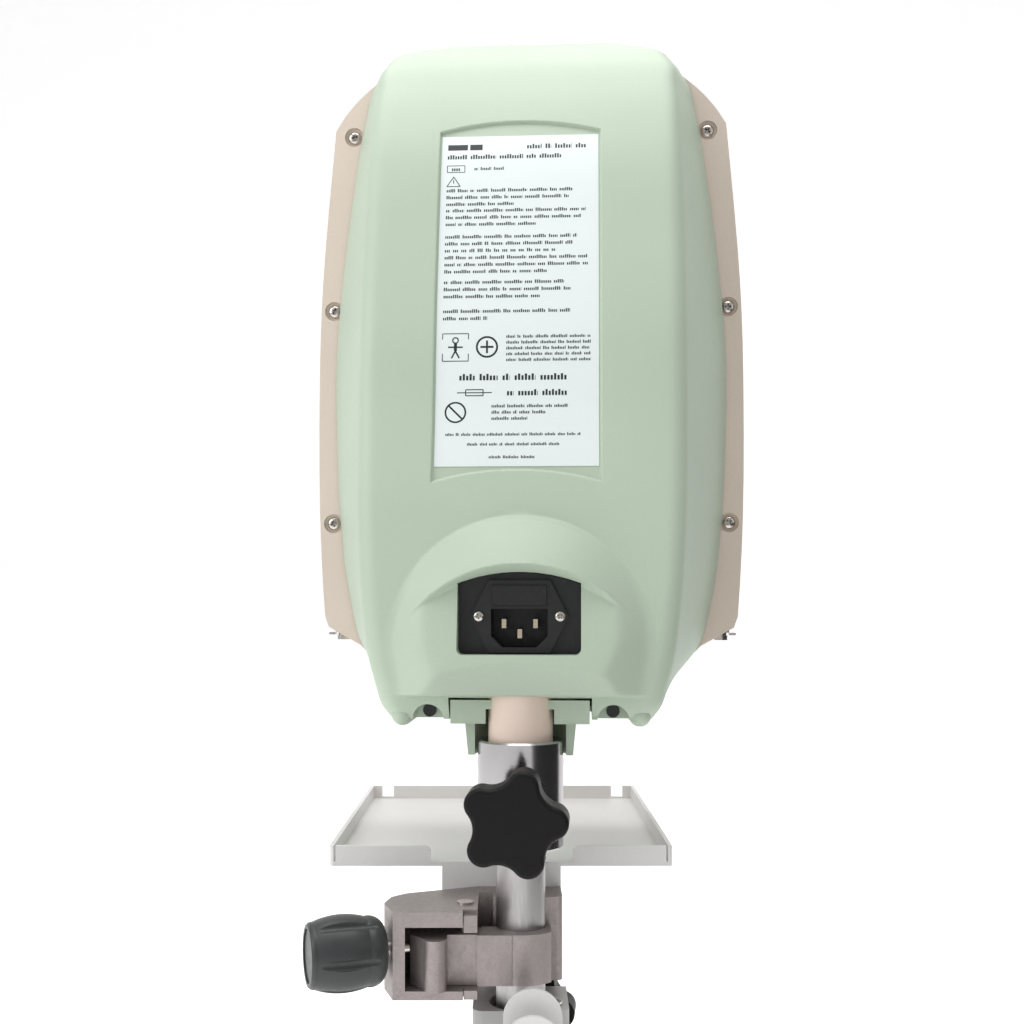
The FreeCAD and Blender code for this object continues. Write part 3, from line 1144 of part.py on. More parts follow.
def make_air_pumps():
    front = S.chassis_y + S.chassis_sheet
    centre_y = front + S.pump_head_half
    top = S.pump_low + S.pump_length
    for side, x in (("right", -S.pump_x), ("left", S.pump_x)):
        can = rod(f"{side}_can", S.pump_radius, (x, centre_y, S.pump_low), S.pump_length)
        head = box(f"{side}_pump_head", (x - S.pump_head_half, front, top),
                   (x + S.pump_head_half, centre_y + S.pump_head_half, top + S.pump_head_rise))
        room = rod(f"{side}_can_room", S.pump_radius - S.can_wall, (x, centre_y, S.pump_low + S.can_base),
                   S.pump_length - S.can_base * 2)
        shaft_way = rod(f"{side}_shaft_way", S.rotor_shaft + S.shaft_gap,
                        (x, centre_y, S.pump_low + S.can_base), S.pump_length)
        keep(cut(f"{side}_pump_hollow", fuse(f"{side}_pump_solid", can, head), room, shaft_way),
             f"{side}_air_pump")
        keep(fuse(f"{side}_rotor_solid",
                  rod(f"{side}_rotor_core", S.rotor_radius, (x, centre_y, S.pump_low + S.can_base * 2),
                      S.pump_length - S.can_base * 4),
                  rod(f"{side}_rotor_shaft", S.rotor_shaft, (x, centre_y, S.pump_low + S.can_base + 0.2),
                      S.pump_length - S.can_base - 0.4)), f"{side}_pump_rotor")


def make_valves_and_boards():
    front = S.chassis_y + S.chassis_sheet
    block = box("valve_block", (-S.valve_half, front, S.valve_low),
                (S.valve_half, front + S.valve_depth, S.valve_low + S.valve_rise))
    keep(block, "valve_manifold")
    coils = []
    count = int(S.coil_count.value)
    for index in range(count):
        x = S.coil_gap * (index - (count - 1) / 2)
        coils.append(rod(f"coil_{index}", S.coil_radius, (x, front + S.valve_depth, S.valve_low + S.valve_rise / 2),
                         S.coil_length, "y"))
    keep(group("coil_set", *coils), "valve_coils")
    plate = box("main_board_plate", (-S.board_half, S.board_y, S.board_low),
                (S.board_half, S.board_y + S.board_sheet, S.board_high))
    chips = [box(f"chip_{index}", (x - S.chip_half, S.board_y + S.board_sheet, z - S.chip_half),
                 (x + S.chip_half, S.board_y + S.board_sheet + S.chip_rise, z + S.chip_half))
             for index, (x, z) in enumerate(((-S.chip_x, S.board_low + 22), (ZERO, S.board_low + 40),
                                             (S.chip_x, S.board_low + 22)))]
    keep(fuse("main_board_built", plate, *chips), "main_board")
    keep(rod("speaker_can", S.speaker_radius, (S.speaker_x, S.key_board_y - S.speaker_depth - 1, S.speaker_z),
             S.speaker_depth, "y"), "speaker")
    tubes = []
    centre_y = front + S.pump_head_half
    low = S.pump_low + S.pump_length + S.pump_head_rise
    for side, x in (("right", -S.pump_x), ("left", S.pump_x)):
        hose = rod(f"{side}_tube_wall", S.tube_radius, (x, front + S.valve_depth / 2, low), S.valve_low - low)
        bore = rod(f"{side}_tube_bore", S.tube_bore, (x, front + S.valve_depth / 2, low - 1),
                   S.valve_low - low + 2)
        tubes.append(cut(f"{side}_tube", hose, bore))
    keep(group("tube_pair", *tubes), "air_tubes")


def make_all():
    make_pole()
    make_collar()
    make_post()
    make_star("star_knob", "star_stud", S.star_height, star_direction(), S.star_near, S.star_far,
              S.post_radius + S.shaft_gap)
    tray_screws = make_tray()
    make_clamp_body()
    make_jaw()
    make_clamp_screw()
    bracket_screws = make_lower_bracket()
    keep(group("stand_screw_set", *tray_screws, *bracket_screws), "stand_screws", True)
    make_hook()
    make_star("lower_star_knob", "lower_stud", S.lower_star_height, lower_star_direction(),
              S.lower_star_near, S.lower_star_far, S.pole_radius + S.shaft_gap)
    make_rear_shell()
    make_label()
    make_base()
    make_shroud()
    make_inlet()
    make_drawer()
    make_front_housing()
    make_bezel()
    make_displays()
    make_keys()
    make_ports()
    make_chassis()
    make_air_pumps()
    make_valves_and_boards()


def turn_stand():
    """The stand's heading differs from the head's by a few degrees of swivel."""
    heading = Placement(Vector(), Rotation(Vector(0, 0, 1), S.stand_heading.value))
    for piece in stand:
        for axis in "xyz":
            piece.setExpression(f"Placement.Base.{axis}", None)
        piece.Placement = heading * piece.Placement


def export():
    doc.recompute()
    faults = [item.Label for item in doc.Objects if "Invalid" in item.State or "Error" in item.State]
    for piece in nodes:
        if piece.Shape.isNull() or not piece.Shape.isValid() or not piece.Shape.Solids:
            faults.append(piece.Label)
    if faults:
        raise RuntimeError(f"not built: {faults}")
    os.makedirs("parts", exist_ok=True)
    for piece in nodes:
        piece.Shape.exportStep(f"parts/{piece.Label}.step")
    print(len(nodes), "sub-parts written")


make_all()
doc.recompute()
turn_stand()
export()
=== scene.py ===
"""Looks for a pole-mounted two-channel pneumatic pump: moulded head, swivel post, tray and pole clamp."""
import json
import math

import bmesh
import bpy
import numpy as np
from bpy.props import FloatProperty, FloatVectorProperty, PointerProperty
from bpy.types import Operator, Panel, PropertyGroup
from mathutils import Matrix, Vector


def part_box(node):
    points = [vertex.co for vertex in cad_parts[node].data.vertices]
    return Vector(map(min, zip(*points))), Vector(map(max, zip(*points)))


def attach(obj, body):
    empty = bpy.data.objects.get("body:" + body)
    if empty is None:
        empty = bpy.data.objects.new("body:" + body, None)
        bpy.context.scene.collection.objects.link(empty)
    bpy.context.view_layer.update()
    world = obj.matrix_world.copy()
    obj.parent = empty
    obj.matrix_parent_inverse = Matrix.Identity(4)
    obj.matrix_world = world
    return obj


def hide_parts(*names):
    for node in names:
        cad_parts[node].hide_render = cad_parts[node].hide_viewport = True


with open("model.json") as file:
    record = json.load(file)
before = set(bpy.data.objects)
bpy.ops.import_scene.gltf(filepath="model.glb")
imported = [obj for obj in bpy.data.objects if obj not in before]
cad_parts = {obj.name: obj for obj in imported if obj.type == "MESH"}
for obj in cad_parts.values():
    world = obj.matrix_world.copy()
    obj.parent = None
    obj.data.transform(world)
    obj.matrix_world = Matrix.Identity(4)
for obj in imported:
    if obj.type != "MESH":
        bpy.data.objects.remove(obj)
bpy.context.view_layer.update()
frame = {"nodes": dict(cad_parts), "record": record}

bl_info = {
    "name": "Pole Pump Looks",
    "version": (1, 0, 0),
    "blender": (4, 5, 0),
    "location": "View3D > Sidebar > Pole Pump",
    "description": "Builds the moulded shells, castings, knobs and fittings of a pole-mounted medical pump",
    "category": "Add Mesh",
}

MM = 0.001
NODES = frame["nodes"]


# ---- places taken from the frame ---------------------------------------------------------------

def span(node):
    """Lowest and highest corner of a CAD node, in millimetres."""
    low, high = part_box(node)
    return np.array(low) / MM, np.array(high) / MM


SEAM_Y, SHELL_TOP = span("rear_shell")[1][1:]
PANEL_LOW, PANEL_HIGH = span("inlet_panel")
LABEL_FOOT = span("rating_label")[0][2]


# ---- sizes and finishes a user may change ------------------------------------------------------

def colour(name, description, value):
    return FloatVectorProperty(name=name, description=description, subtype="COLOR", size=3,
                               min=0.0, max=1.0, default=value)


def length(name, description, value):
    return FloatProperty(name=name, description=description, default=value * MM, unit="LENGTH",
                         subtype="DISTANCE", precision=5)


class PumpFinishes(PropertyGroup):
    """Colours of the pump's materials."""

    shell: colour("Shell green", "Moulded rear shell and neck", (0.475, 0.565, 0.45))
    housing: colour("Housing beige", "Moulded front housing", (0.70, 0.60, 0.52))
    post: colour("Post cream", "Enamelled swivel post", (0.82, 0.67, 0.57))
    label: colour("Label film", "Pale printed label", (0.80, 0.87, 0.865))
    print_ink: colour("Label print", "Dark print on the label", (0.02, 0.022, 0.025))
    black: colour("Inlet black", "Inlet and its panel", (0.012, 0.012, 0.013))
    star: colour("Star knob black", "Moulded star knobs", (0.006, 0.006, 0.0065))
    barrel: colour("Barrel knob grey", "Moulded clamp knob", (0.040, 0.044, 0.044))
    tray: colour("Tray coat", "Powder coat on the tray and hook", (0.78, 0.77, 0.76))
    casting: colour("Casting", "Blasted cast aluminium", (0.34, 0.30, 0.295))
    keys: colour("Keys", "Silicone keys", (0.30, 0.33, 0.32))


class PumpSizes(PropertyGroup):
    """Sizes of the moulded details."""

    corner: length("Shell corner", "Radius between the shell's back and its sides", 9.0)
    wall: length("Shell wall", "Thickness of the rear shell", 3.0)
    crease: length("Crease", "Softness of the moulded creases", 0.9)
    recess: length("Label recess", "Depth of the label's recess", 1.8)


class PumpStage(PropertyGroup):
    """Camera and light."""

    distance: length("Camera distance", "From the pole's axis to the lens", 585.0)
    eye: length("Camera height", "Height of the level camera", 280.0)
    aside: length("Camera offset", "Camera's sideways offset from the pole", -6.1)
    turn: FloatProperty(name="Azimuth", description="Camera's turn round the pole", subtype="ANGLE",
                        default=math.radians(3.4))
    lens: FloatProperty(name="Lens", description="Focal length in millimetres", default=45.7, min=10.0)
    key: FloatProperty(name="Key light", description="Power of the large lights in watts", default=3.4,
                       min=0.0)
    room: FloatProperty(name="Room light", description="Strength of the even light", default=0.42, min=0.0)


# ---- material building -------------------------------------------------------------------------

class Nodes:
    """A material's node tree, with short ways to add and join nodes."""

    def __init__(self, name):
        self.material = bpy.data.materials.new(name)
        self.material.use_nodes = True
        self.tree = self.material.node_tree
        self.shader = self.tree.nodes["Principled BSDF"]
        self.place = self.add("ShaderNodeTexCoord").outputs["Object"]

    def add(self, kind, **settings):
        node = self.tree.nodes.new(kind)
        for key, value in settings.items():
            setattr(node, key, value)
        return node

    def join(self, source, target):
        self.tree.links.new(source, target)

    def noise(self, scale, detail=3.0, roughness=0.55, stretch=(1.0, 1.0, 1.0)):
        mapping = self.add("ShaderNodeMapping")
        mapping.inputs["Scale"].default_value = stretch
        self.join(self.place, mapping.inputs["Vector"])
        noise = self.add("ShaderNodeTexNoise")
        noise.inputs["Scale"].default_value = scale
        noise.inputs["Detail"].default_value = detail
        noise.inputs["Roughness"].default_value = roughness
        self.join(mapping.outputs["Vector"], noise.inputs["Vector"])
        return noise.outputs["Fac"]

    def ramp(self, source, low, high, start=0.3, stop=0.7):
        """Turns a 0 to 1 pattern into values between low and high."""
        ramp = self.add("ShaderNodeMapRange")
        for key, value in (("From Min", start), ("From Max", stop), ("To Min", low), ("To Max", high)):
            ramp.inputs[key].default_value = value
        self.join(source, ramp.inputs["Value"])
        return ramp.outputs["Result"]

    def mix(self, factor, first, second):
        """Colour between first and second; each is a colour or a socket."""
        mix = self.add("ShaderNodeMix", data_type="RGBA")
        self.join(factor, mix.inputs["Factor"])
        for index, value in ((6, first), (7, second)):
            if isinstance(value, bpy.types.NodeSocket):
                self.join(value, mix.inputs[index])
            else:
                mix.inputs[index].default_value = (*value[:3], 1.0)
        return mix.outputs[2]

    def bump(self, *layers):
        """Stack of (pattern, height in metres) layers."""
        normal = None
        for pattern, height in layers:
            bump = self.add("ShaderNodeBump")
            bump.inputs["Strength"].default_value = 1.0
            bump.inputs["Distance"].default_value = height
            self.join(pattern, bump.inputs["Height"])
            if normal:
                self.join(normal, bump.inputs["Normal"])
            normal = bump.outputs["Normal"]
        self.join(normal, self.shader.inputs["Normal"])

    def set(self, **sockets):
        for name, value in sockets.items():
            self.shader.inputs[name.replace("_", " ").title().replace("Ior", "IOR")].default_value = value

    def colour(self, socket):
        self.join(socket, self.shader.inputs["Base Color"])

    def roughness(self, socket):
        self.join(socket, self.shader.inputs["Roughness"])


def shade(value, factor):
    return tuple(min(1.0, channel * factor) for channel in value[:3])


def moulded(name, base, grain=1500.0, depth=0.00002, rough=(0.42, 0.55), drift=0.05, sheen=0.45):
    """Moulded plastic with a spark-eroded grain and a slow drift of colour."""
    made = Nodes(name)
    slow = made.noise(9.0, 2.0)
    fine = made.noise(grain, 2.0, 0.6)
    middle_grain = made.noise(grain * 0.35, 2.0)
    tinted = made.mix(made.ramp(slow, 0.0, 1.0), shade(base, 1 - drift), shade(base, 1 + drift))
    speckled = made.mix(made.ramp(fine, 0.0, 0.35), tinted, shade(base, 0.86))
    made.colour(speckled)
    made.roughness(made.ramp(middle_grain, *rough))
    made.bump((fine, depth), (middle_grain, depth * 0.8))
    made.set(specular_ior_level=sheen)
    return made.material


def coated(name, base, rough=(0.38, 0.52), peel=0.00004):
    """Powder coat: orange peel, faint scuffs and dust."""
    made = Nodes(name)
    peel_pattern = made.noise(700.0, 2.0)
    fine = made.noise(2600.0, 1.0)
    slow = made.noise(14.0, 4.0)
    tinted = made.mix(made.ramp(slow, 0.0, 1.0), shade(base, 0.95), shade(base, 1.05))
    made.colour(made.mix(made.ramp(fine, 0.0, 0.3), tinted, shade(base, 0.82)))
    made.roughness(made.ramp(slow, *rough))
    made.bump((peel_pattern, peel), (fine, peel * 0.4))
    return made.material


def cast(name, base, rough=(0.38, 0.55), metallic=0.75):
    """Blasted casting: pitted skin, brighter where it is handled."""
    made = Nodes(name)
    pits = made.noise(1300.0, 3.0, 0.7)
    skin = made.noise(420.0, 3.0)
    slow = made.noise(45.0, 3.0)
    tinted = made.mix(made.ramp(slow, 0.0, 1.0), shade(base, 0.92), shade(base, 1.1))
    made.colour(made.mix(made.ramp(pits, 0.0, 0.55, 0.35, 0.75), tinted, shade(base, 1.4)))
    made.roughness(made.ramp(skin, *rough))
    made.bump((skin, 0.00008), (pits, 0.00005))
    made.set(metallic=metallic)
    return made.material


def metal(name, base, rough=(0.18, 0.30), stretch=(1.0, 1.0, 1.0), scale=900.0, depth=0.000004,
          anisotropic=0.0, stains=0.12):
    """Bare metal with tool marks that run along the stretched axis."""
    made = Nodes(name)
    marks = made.noise(scale, 2.0, 0.6, stretch)
    slow = made.noise(30.0, 4.0)
    tinted = made.mix(made.ramp(slow, 0.0, 1.0), shade(base, 1 - stains), base)
    made.colour(made.mix(made.ramp(marks, 0.0, 0.25), tinted, shade(base, 0.8)))
    made.roughness(made.ramp(marks, *rough))
    made.bump((marks, depth))
    made.set(metallic=1.0, anisotropic=anisotropic)
    return made.material


def tinted_glass(name, base):
    made = Nodes(name)
    smudge = made.noise(60.0, 3.0)
    made.colour(made.mix(made.ramp(smudge, 0.0, 1.0), shade(base, 0.9), shade(base, 1.1)))
    made.roughness(made.ramp(smudge, 0.05, 0.12))
    made.bump((made.noise(300.0, 1.0), 0.000002))
    made.set(coat_weight=0.6, specular_ior_level=0.6)
    return made.material


class Finishes:
    """Each material is made the first time that it is asked for."""

    def __init__(self):
        self.made = {}

    def get(self, name):
        if name not in self.made:
            self.made[name] = getattr(self, name)()
        return self.made[name]

    @property
    def picked(self):
        return bpy.context.scene.pump_finishes

    def green_plastic(self):
        return moulded("green_plastic", self.picked.shell)

    def beige_plastic(self):
        return moulded("beige_plastic", self.picked.housing)

    def black_plastic(self):
        return moulded("black_plastic", self.picked.black, 1100.0, 0.00003, (0.34, 0.50))

    def knob_black(self):
        return moulded("knob_black", self.picked.star, sheen=0.2)

    def knob_grey(self):
        return moulded("knob_grey", self.picked.barrel, 1300.0, 0.00002, (0.34, 0.46))

    def label_film(self):
        return moulded("label_film", self.picked.label, 2400.0, 0.000003, (0.30, 0.40), 0.02)

    def label_ink(self):
        return moulded("label_ink", self.picked.print_ink, 2400.0, 0.000003, (0.35, 0.45))

    def turned_aluminium(self):
        return metal("turned_aluminium", (0.56, 0.54, 0.55), (0.14, 0.22), (1, 1, 30), 300.0, 0.000003, 0.6)

    def pole_aluminium(self):
        return metal("pole_aluminium", (0.52, 0.50, 0.50), (0.34, 0.50), (1, 1, 0.12), 900.0, 0.00001, 0.3)

    def post_paint(self):
        return coated("post_paint", self.picked.post, (0.34, 0.44), 0.000015)

    def tray_paint(self):
        return coated("tray_paint", self.picked.tray)

    def bracket_paint(self):
        return coated("bracket_paint", shade(self.picked.tray, 0.62), (0.4, 0.55), 0.00007)

    def clamp_cast(self):
        return cast("clamp_cast", self.picked.casting)

    def screw_steel(self):
        return metal("screw_steel", (0.66, 0.62, 0.58), (0.16, 0.30), scale=1400.0)

    def black_oxide(self):
        return metal("black_oxide", (0.05, 0.053, 0.05), (0.4, 0.55))

    def contact_brass(self):
        return metal("contact_brass", (0.75, 0.66, 0.52), (0.2, 0.3))

    def sheet_steel(self):
        return metal("sheet_steel", (0.55, 0.55, 0.56), (0.3, 0.45), (1, 12, 1), 500.0)

    def pump_metal(self):
        return metal("pump_metal", (0.48, 0.48, 0.49), (0.3, 0.45))

    def rotor_steel(self):
        return metal("rotor_steel", (0.30, 0.28, 0.27), (0.35, 0.5), (1, 1, 25), 400.0)

    def display_segment(self):
        made = Nodes("display_segment")
        made.set(base_color=(0.30, 0.62, 0.42, 1.0), roughness=0.5,
                 emission_color=(0.35, 0.85, 0.55, 1.0), emission_strength=0.6)
        return made.material

    def fuse_glass(self):
        return tinted_glass("fuse_glass", (0.72, 0.76, 0.76))

    def window_glass(self):
        return tinted_glass("window_glass", (0.012, 0.018, 0.020))

    def display_face(self):
        return moulded("display_face", (0.03, 0.06, 0.055), 800.0, 0.00001)

    def key_rubber(self):
        return moulded("key_rubber", self.picked.keys, 1200.0, 0.00002, (0.5, 0.65))

    def board_laminate(self):
        return moulded("board_laminate", (0.015, 0.12, 0.05), 500.0, 0.00003, (0.25, 0.4), 0.15)

    def battery_wrap(self):
        return moulded("battery_wrap", (0.02, 0.05, 0.18), 300.0, 0.00002, (0.2, 0.35))

    def tube_silicone(self):
        return moulded("tube_silicone", (0.62, 0.62, 0.58), 400.0, 0.00001, (0.3, 0.4))


finishes = Finishes()


# ---- mesh building -----------------------------------------------------------------------------

def add_object(name, points, faces, finish, smooth=True):
    """A mesh object from points in millimetres."""
    mesh = bpy.data.meshes.new(name)
    mesh.from_pydata((np.asarray(points, float) * MM).tolist(), [], [tuple(face) for face in faces])
    mesh.validate()
    mesh.update()
    mesh.shade_smooth() if smooth else mesh.shade_flat()
    piece = bpy.data.objects.new(name, mesh)
    bpy.context.scene.collection.objects.link(piece)
    if finish:
        mesh.materials.append(finishes.get(finish))
    return piece


def hand_in(piece, body, slot, *replaced):
    """Parent a finished piece to its body's empty, and hide the CAD nodes that it replaces."""
    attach(piece, body)
    if replaced:
        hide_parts(*replaced)
    return piece


def grid_faces(rows, columns):
    """Quads over a grid of points stored row by row."""
    return [(row * columns + col, row * columns + col + 1,
             (row + 1) * columns + col + 1, (row + 1) * columns + col)
            for row in range(rows - 1) for col in range(columns - 1)]


def lathe(profile, count=64):
    """Points and faces turned about Z from (radius, height) pairs; ends on the axis close it."""
    points, faces, rings = [], [], []
    for radius, height in profile:
        if radius < 1e-6:
            rings.append([len(points)])
            points.append((0.0, 0.0, height))
            continue
        rings.append(list(range(len(points), len(points) + count)))
        for index in range(count):
            turn = 2 * math.pi * index / count
            points.append((radius * math.cos(turn), radius * math.sin(turn), height))
    for low, high in zip(rings, rings[1:]):
        for index in range(count):
            after = (index + 1) % count
            if len(low) == 1:
                faces.append((low[0], high[after], high[index]))
            elif len(high) == 1:
                faces.append((low[index], low[after], high[0]))
            else:
                faces.append((low[index], low[after], high[after], high[index]))
    return np.array(points), faces


def placed(points, origin, direction):
    """Points built along Z, laid along a direction from an origin in millimetres."""
    turn = Vector(direction).to_track_quat("Z", "Y").to_matrix()
    return np.asarray(points) @ np.array(turn).T + np.asarray(origin)


def tube_faces(count):
    """Faces of a closed tube between two outlines of the same number of points."""
    ends = [tuple(range(count)), tuple(range(2 * count - 1, count - 1, -1))]
    return ends + [(index, index + count, (index + 1) % count + count, (index + 1) % count)
                   for index in range(count)]


def prism(outline, low, high):
    """Points and faces of an outline in X and Z, carried from one Y to another."""
    points = [(x, y, z) for y in (low, high) for x, z in outline]
    return points, tube_faces(len(outline))


def rectangle(x0, x1, z0, z1):
    """Outline in X and Z."""
    return [(x0, z0), (x1, z0), (x1, z1), (x0, z1)]


def tidy_normals(piece):
    work = bmesh.new()
    work.from_mesh(piece.data)
    bmesh.ops.recalc_face_normals(work, faces=work.faces)
    work.to_mesh(piece.data)
    work.free()
    return piece


def crease_edges(piece, angle=38.0):
    """Edges sharper than the angle shade as edges, and the rest shade as one surface."""
    work = bmesh.new()
    work.from_mesh(piece.data)
    for edge in work.edges:
        sharp = len(edge.link_faces) == 2 and edge.calc_face_angle(0.0) > math.radians(angle)
        edge.smooth = not sharp
    for face in work.faces:
        face.smooth = True
    work.to_mesh(piece.data)
    work.free()
    return piece


def settle(piece):
    """Turn the piece's modifiers into its mesh."""
    view = bpy.context.evaluated_depsgraph_get()
    mesh = bpy.data.meshes.new_from_object(piece.evaluated_get(view))
    piece.modifiers.clear()
    piece.data = mesh
    return piece


def boolean(piece, operation, *others):
    """Join the others to the piece or cut them from it, and remove them."""
    for other in others:
        tidy_normals(other)
        step = piece.modifiers.new("cut", "BOOLEAN")
        step.operation = operation
        step.solver = "EXACT"
        step.object = other
    settle(piece)
    for other in others:
        bpy.data.objects.remove(other)
    return piece


def round_edges(piece, radius):
    """Merge the flat triangles, then round the edges that are left."""
    flat = piece.modifiers.new("flat_faces", "DECIMATE")
    flat.decimate_type = "DISSOLVE"
    flat.angle_limit = math.radians(1.0)
    step = piece.modifiers.new("rounding", "BEVEL")
    step.width = radius
    step.segments = 3
    step.limit_method = "ANGLE"
    step.angle_limit = math.radians(40.0)
    step.harden_normals = True


def dress(node, finish, radius):
    """Give a CAD node its finish, and rounded edges or else smooth shading by angle."""
    piece = NODES[node]
    piece.data.materials.clear()
    piece.data.materials.append(finishes.get(finish))
    for polygon in piece.data.polygons:
        polygon.use_smooth = True
    if radius:
        round_edges(piece, radius)
    else:
        piece.data.set_sharp_from_angle(angle=math.radians(35))


# ---- rear shell --------------------------------------------------------------------------------

# height below the shell's top, half width at the back, half width at the seam, depth from the seam
SHELL_STATIONS = np.array([
    (338.3, 59.0, 62.0, 96.2), (332.3, 62.5, 70.0, 100.2), (324.3, 64.5, 76.0, 102.2),
    (310.3, 67.5, 87.0, 102.7), (284.3, 70.5, 94.5, 102.2), (244.3, 73.0, 99.5, 96.2),
    (200.3, 74.0, 101.5, 86.7), (155.3, 74.0, 101.5, 80.2), (110.3, 74.0, 97.5, 69.2),
    (61.3, 73.5, 91.0, 54.2), (33.3, 72.5, 86.0, 40.2), (14.8, 70.0, 80.0, 27.2),
    (5.8, 62.0, 70.5, 18.2), (0.0, 42.0, 48.0, 10.2),
])
HOOD = {"radius": 58.2, "centre": 252.8, "foot": 233.0, "foot_half": 54.5, "slope": 0.80,
        "brow_radius": 62.9, "brow_centre": 228.7, "inner_radius": 73.5, "inner_centre": 214.0,
        "crease_top": 248.0, "crease_drop": 12.0, "foot_y": -15.4, "brim_y": -7.4, "hollow": 0.006,
        "hollow_from": 6.0, "face_y": -12.6, "face_top": 288.0, "face_lean": 0.2}
RECESS = {"half": 38.4, "low": 329.0, "high": 501.0, "rise": 5.7, "low_rise": 5.5, "shift": -2.2}


def smooth_through(heights, values, wanted):
    """Cubic curve through unevenly spaced stations."""
    slopes = np.gradient(values, heights)
    index = np.clip(np.searchsorted(heights, wanted) - 1, 0, len(heights) - 2)
    gap = heights[index + 1] - heights[index]
    share = (wanted - heights[index]) / gap
    square, cube = share ** 2, share ** 3
    return ((2 * cube - 3 * square + 1) * values[index] + (cube - 2 * square + share) * gap * slopes[index]
            + (3 * square - 2 * cube) * values[index + 1] + (cube - square) * gap * slopes[index + 1])


STATION_HEIGHTS = SHELL_TOP - SHELL_STATIONS[:, 0]


def back_surface(height):
    return SEAM_Y - smooth_through(STATION_HEIGHTS, SHELL_STATIONS[:, 3], np.asarray(height, float))


def soft_step(value, width):
    share = np.clip(value / width + 0.5, 0.0, 1.0)
    return share * share * (3 - 2 * share)


def soft_max(first, second, radius):
    """The larger of two, rounded where they meet."""
    return 0.5 * (first + second + np.sqrt((first - second) ** 2 + radius ** 2))


def arch_rise(x, half, rise):
    """Height of a shallow arch over its two ends."""
    radius = (half ** 2 + rise ** 2) / (2 * rise)
    return np.sqrt(np.maximum(radius ** 2 - np.minimum(np.abs(x), half) ** 2, 0)) - (radius - rise)


def face_plane(z):
    """The flat round the inlet leans out a little towards its foot."""
    return HOOD["face_y"] - HOOD["face_lean"] * (HOOD["face_top"] - z)


def hood_surface(x, z, crease):
    """Y of the inlet hood: a cone down from the wall, cut by the flat face and the foot chamfer."""
    across = np.abs(x)
    above = HOOD["radius"] - np.sqrt(x ** 2 + (z - HOOD["centre"]) ** 2)
    waist = np.interp(z, (HOOD["foot"], HOOD["centre"]), (HOOD["foot_half"], HOOD["radius"]))
    inside = np.where(z > HOOD["centre"], above, waist - across)
    hollow = HOOD["hollow"] * np.maximum(inside - HOOD["hollow_from"], 0) ** 2
    cone = HOOD["brim_y"] - HOOD["slope"] * inside + hollow
    brow = HOOD["brow_radius"] - np.sqrt(x ** 2 + (z - HOOD["brow_centre"]) ** 2)
    inner = HOOD["inner_radius"] - np.sqrt(x ** 2 + (z - HOOD["inner_centre"]) ** 2)
    crease_height = HOOD["crease_top"] - HOOD["crease_drop"] * (across / HOOD["foot_half"]) ** 2
    climb = np.clip((z - HOOD["foot"]) / np.maximum(crease_height - HOOD["foot"], 0.5), 0.0, 1.5)
    chamfer = HOOD["foot_y"] + (face_plane(crease_height) - HOOD["foot_y"]) * climb
    flat = soft_max(face_plane(z), chamfer, crease)
    sunk = soft_max(cone, flat, crease * 2.2)
    under = np.clip(brow / np.maximum(brow - inner + 0.35, 0.35), 0.0, 1.0)
    lip = cone + (sunk - cone) * under
    return np.where(brow > 0, lip, cone), inside


def shell_back(x, z, sizes):
    """Y of the outside of the shell's back, with the label's recess and the hood."""
    crease = sizes.crease / MM
    base = back_surface(z)
    across = x - RECESS["shift"]
    bottom = RECESS["low"] + arch_rise(across, RECESS["half"], RECESS["low_rise"])
    top = RECESS["high"] + arch_rise(across, RECESS["half"], RECESS["rise"])
    inside = np.minimum(np.minimum(RECESS["half"] - np.abs(across), z - bottom), top - z)
    sunk = base + sizes.recess / MM * soft_step(inside, crease)
    hood, reach = hood_surface(x, z, crease)
    raised = -soft_max(-sunk, -hood, crease * 1.6)
    foot = soft_step(z - HOOD["foot"], 1.2)
    in_hood = soft_step(reach + 1.5, 3.0) * foot
    return sunk + (np.minimum(raised, sunk) - sunk) * in_hood


def shell_heights():
    """Rows: fine where the mould has detail, coarse elsewhere."""
    bottom = SHELL_TOP - SHELL_STATIONS[0, 0]
    runs = [(bottom, 231.0, 1.2), (231.0, 314.0, 0.6), (314.0, 327.0, 2.6), (327.0, 336.5, 0.4),
            (336.5, 499.5, 3.0), (499.5, 508.5, 0.4), (508.5, 551.0, 2.0), (551.0, SHELL_TOP, 0.6)]
    heights = [np.arange(low, high - step * 0.4, step) for low, high, step in runs]
    return np.append(np.concatenate(heights), SHELL_TOP)


# columns are spread this far from the middle, and then fitted to the width of the back
COLUMN_REACH = 60.0


def shell_columns(edge):
    """Half the back's columns, from the middle out, with close ones at the recess's side."""
    close = edge + np.array([-0.6, -0.3, -0.1, 0.1, 0.3, 0.6])
    return np.concatenate([np.linspace(0.0, edge - 1.2, 54), close,
                           np.linspace(edge + 1.2, COLUMN_REACH, 30)])


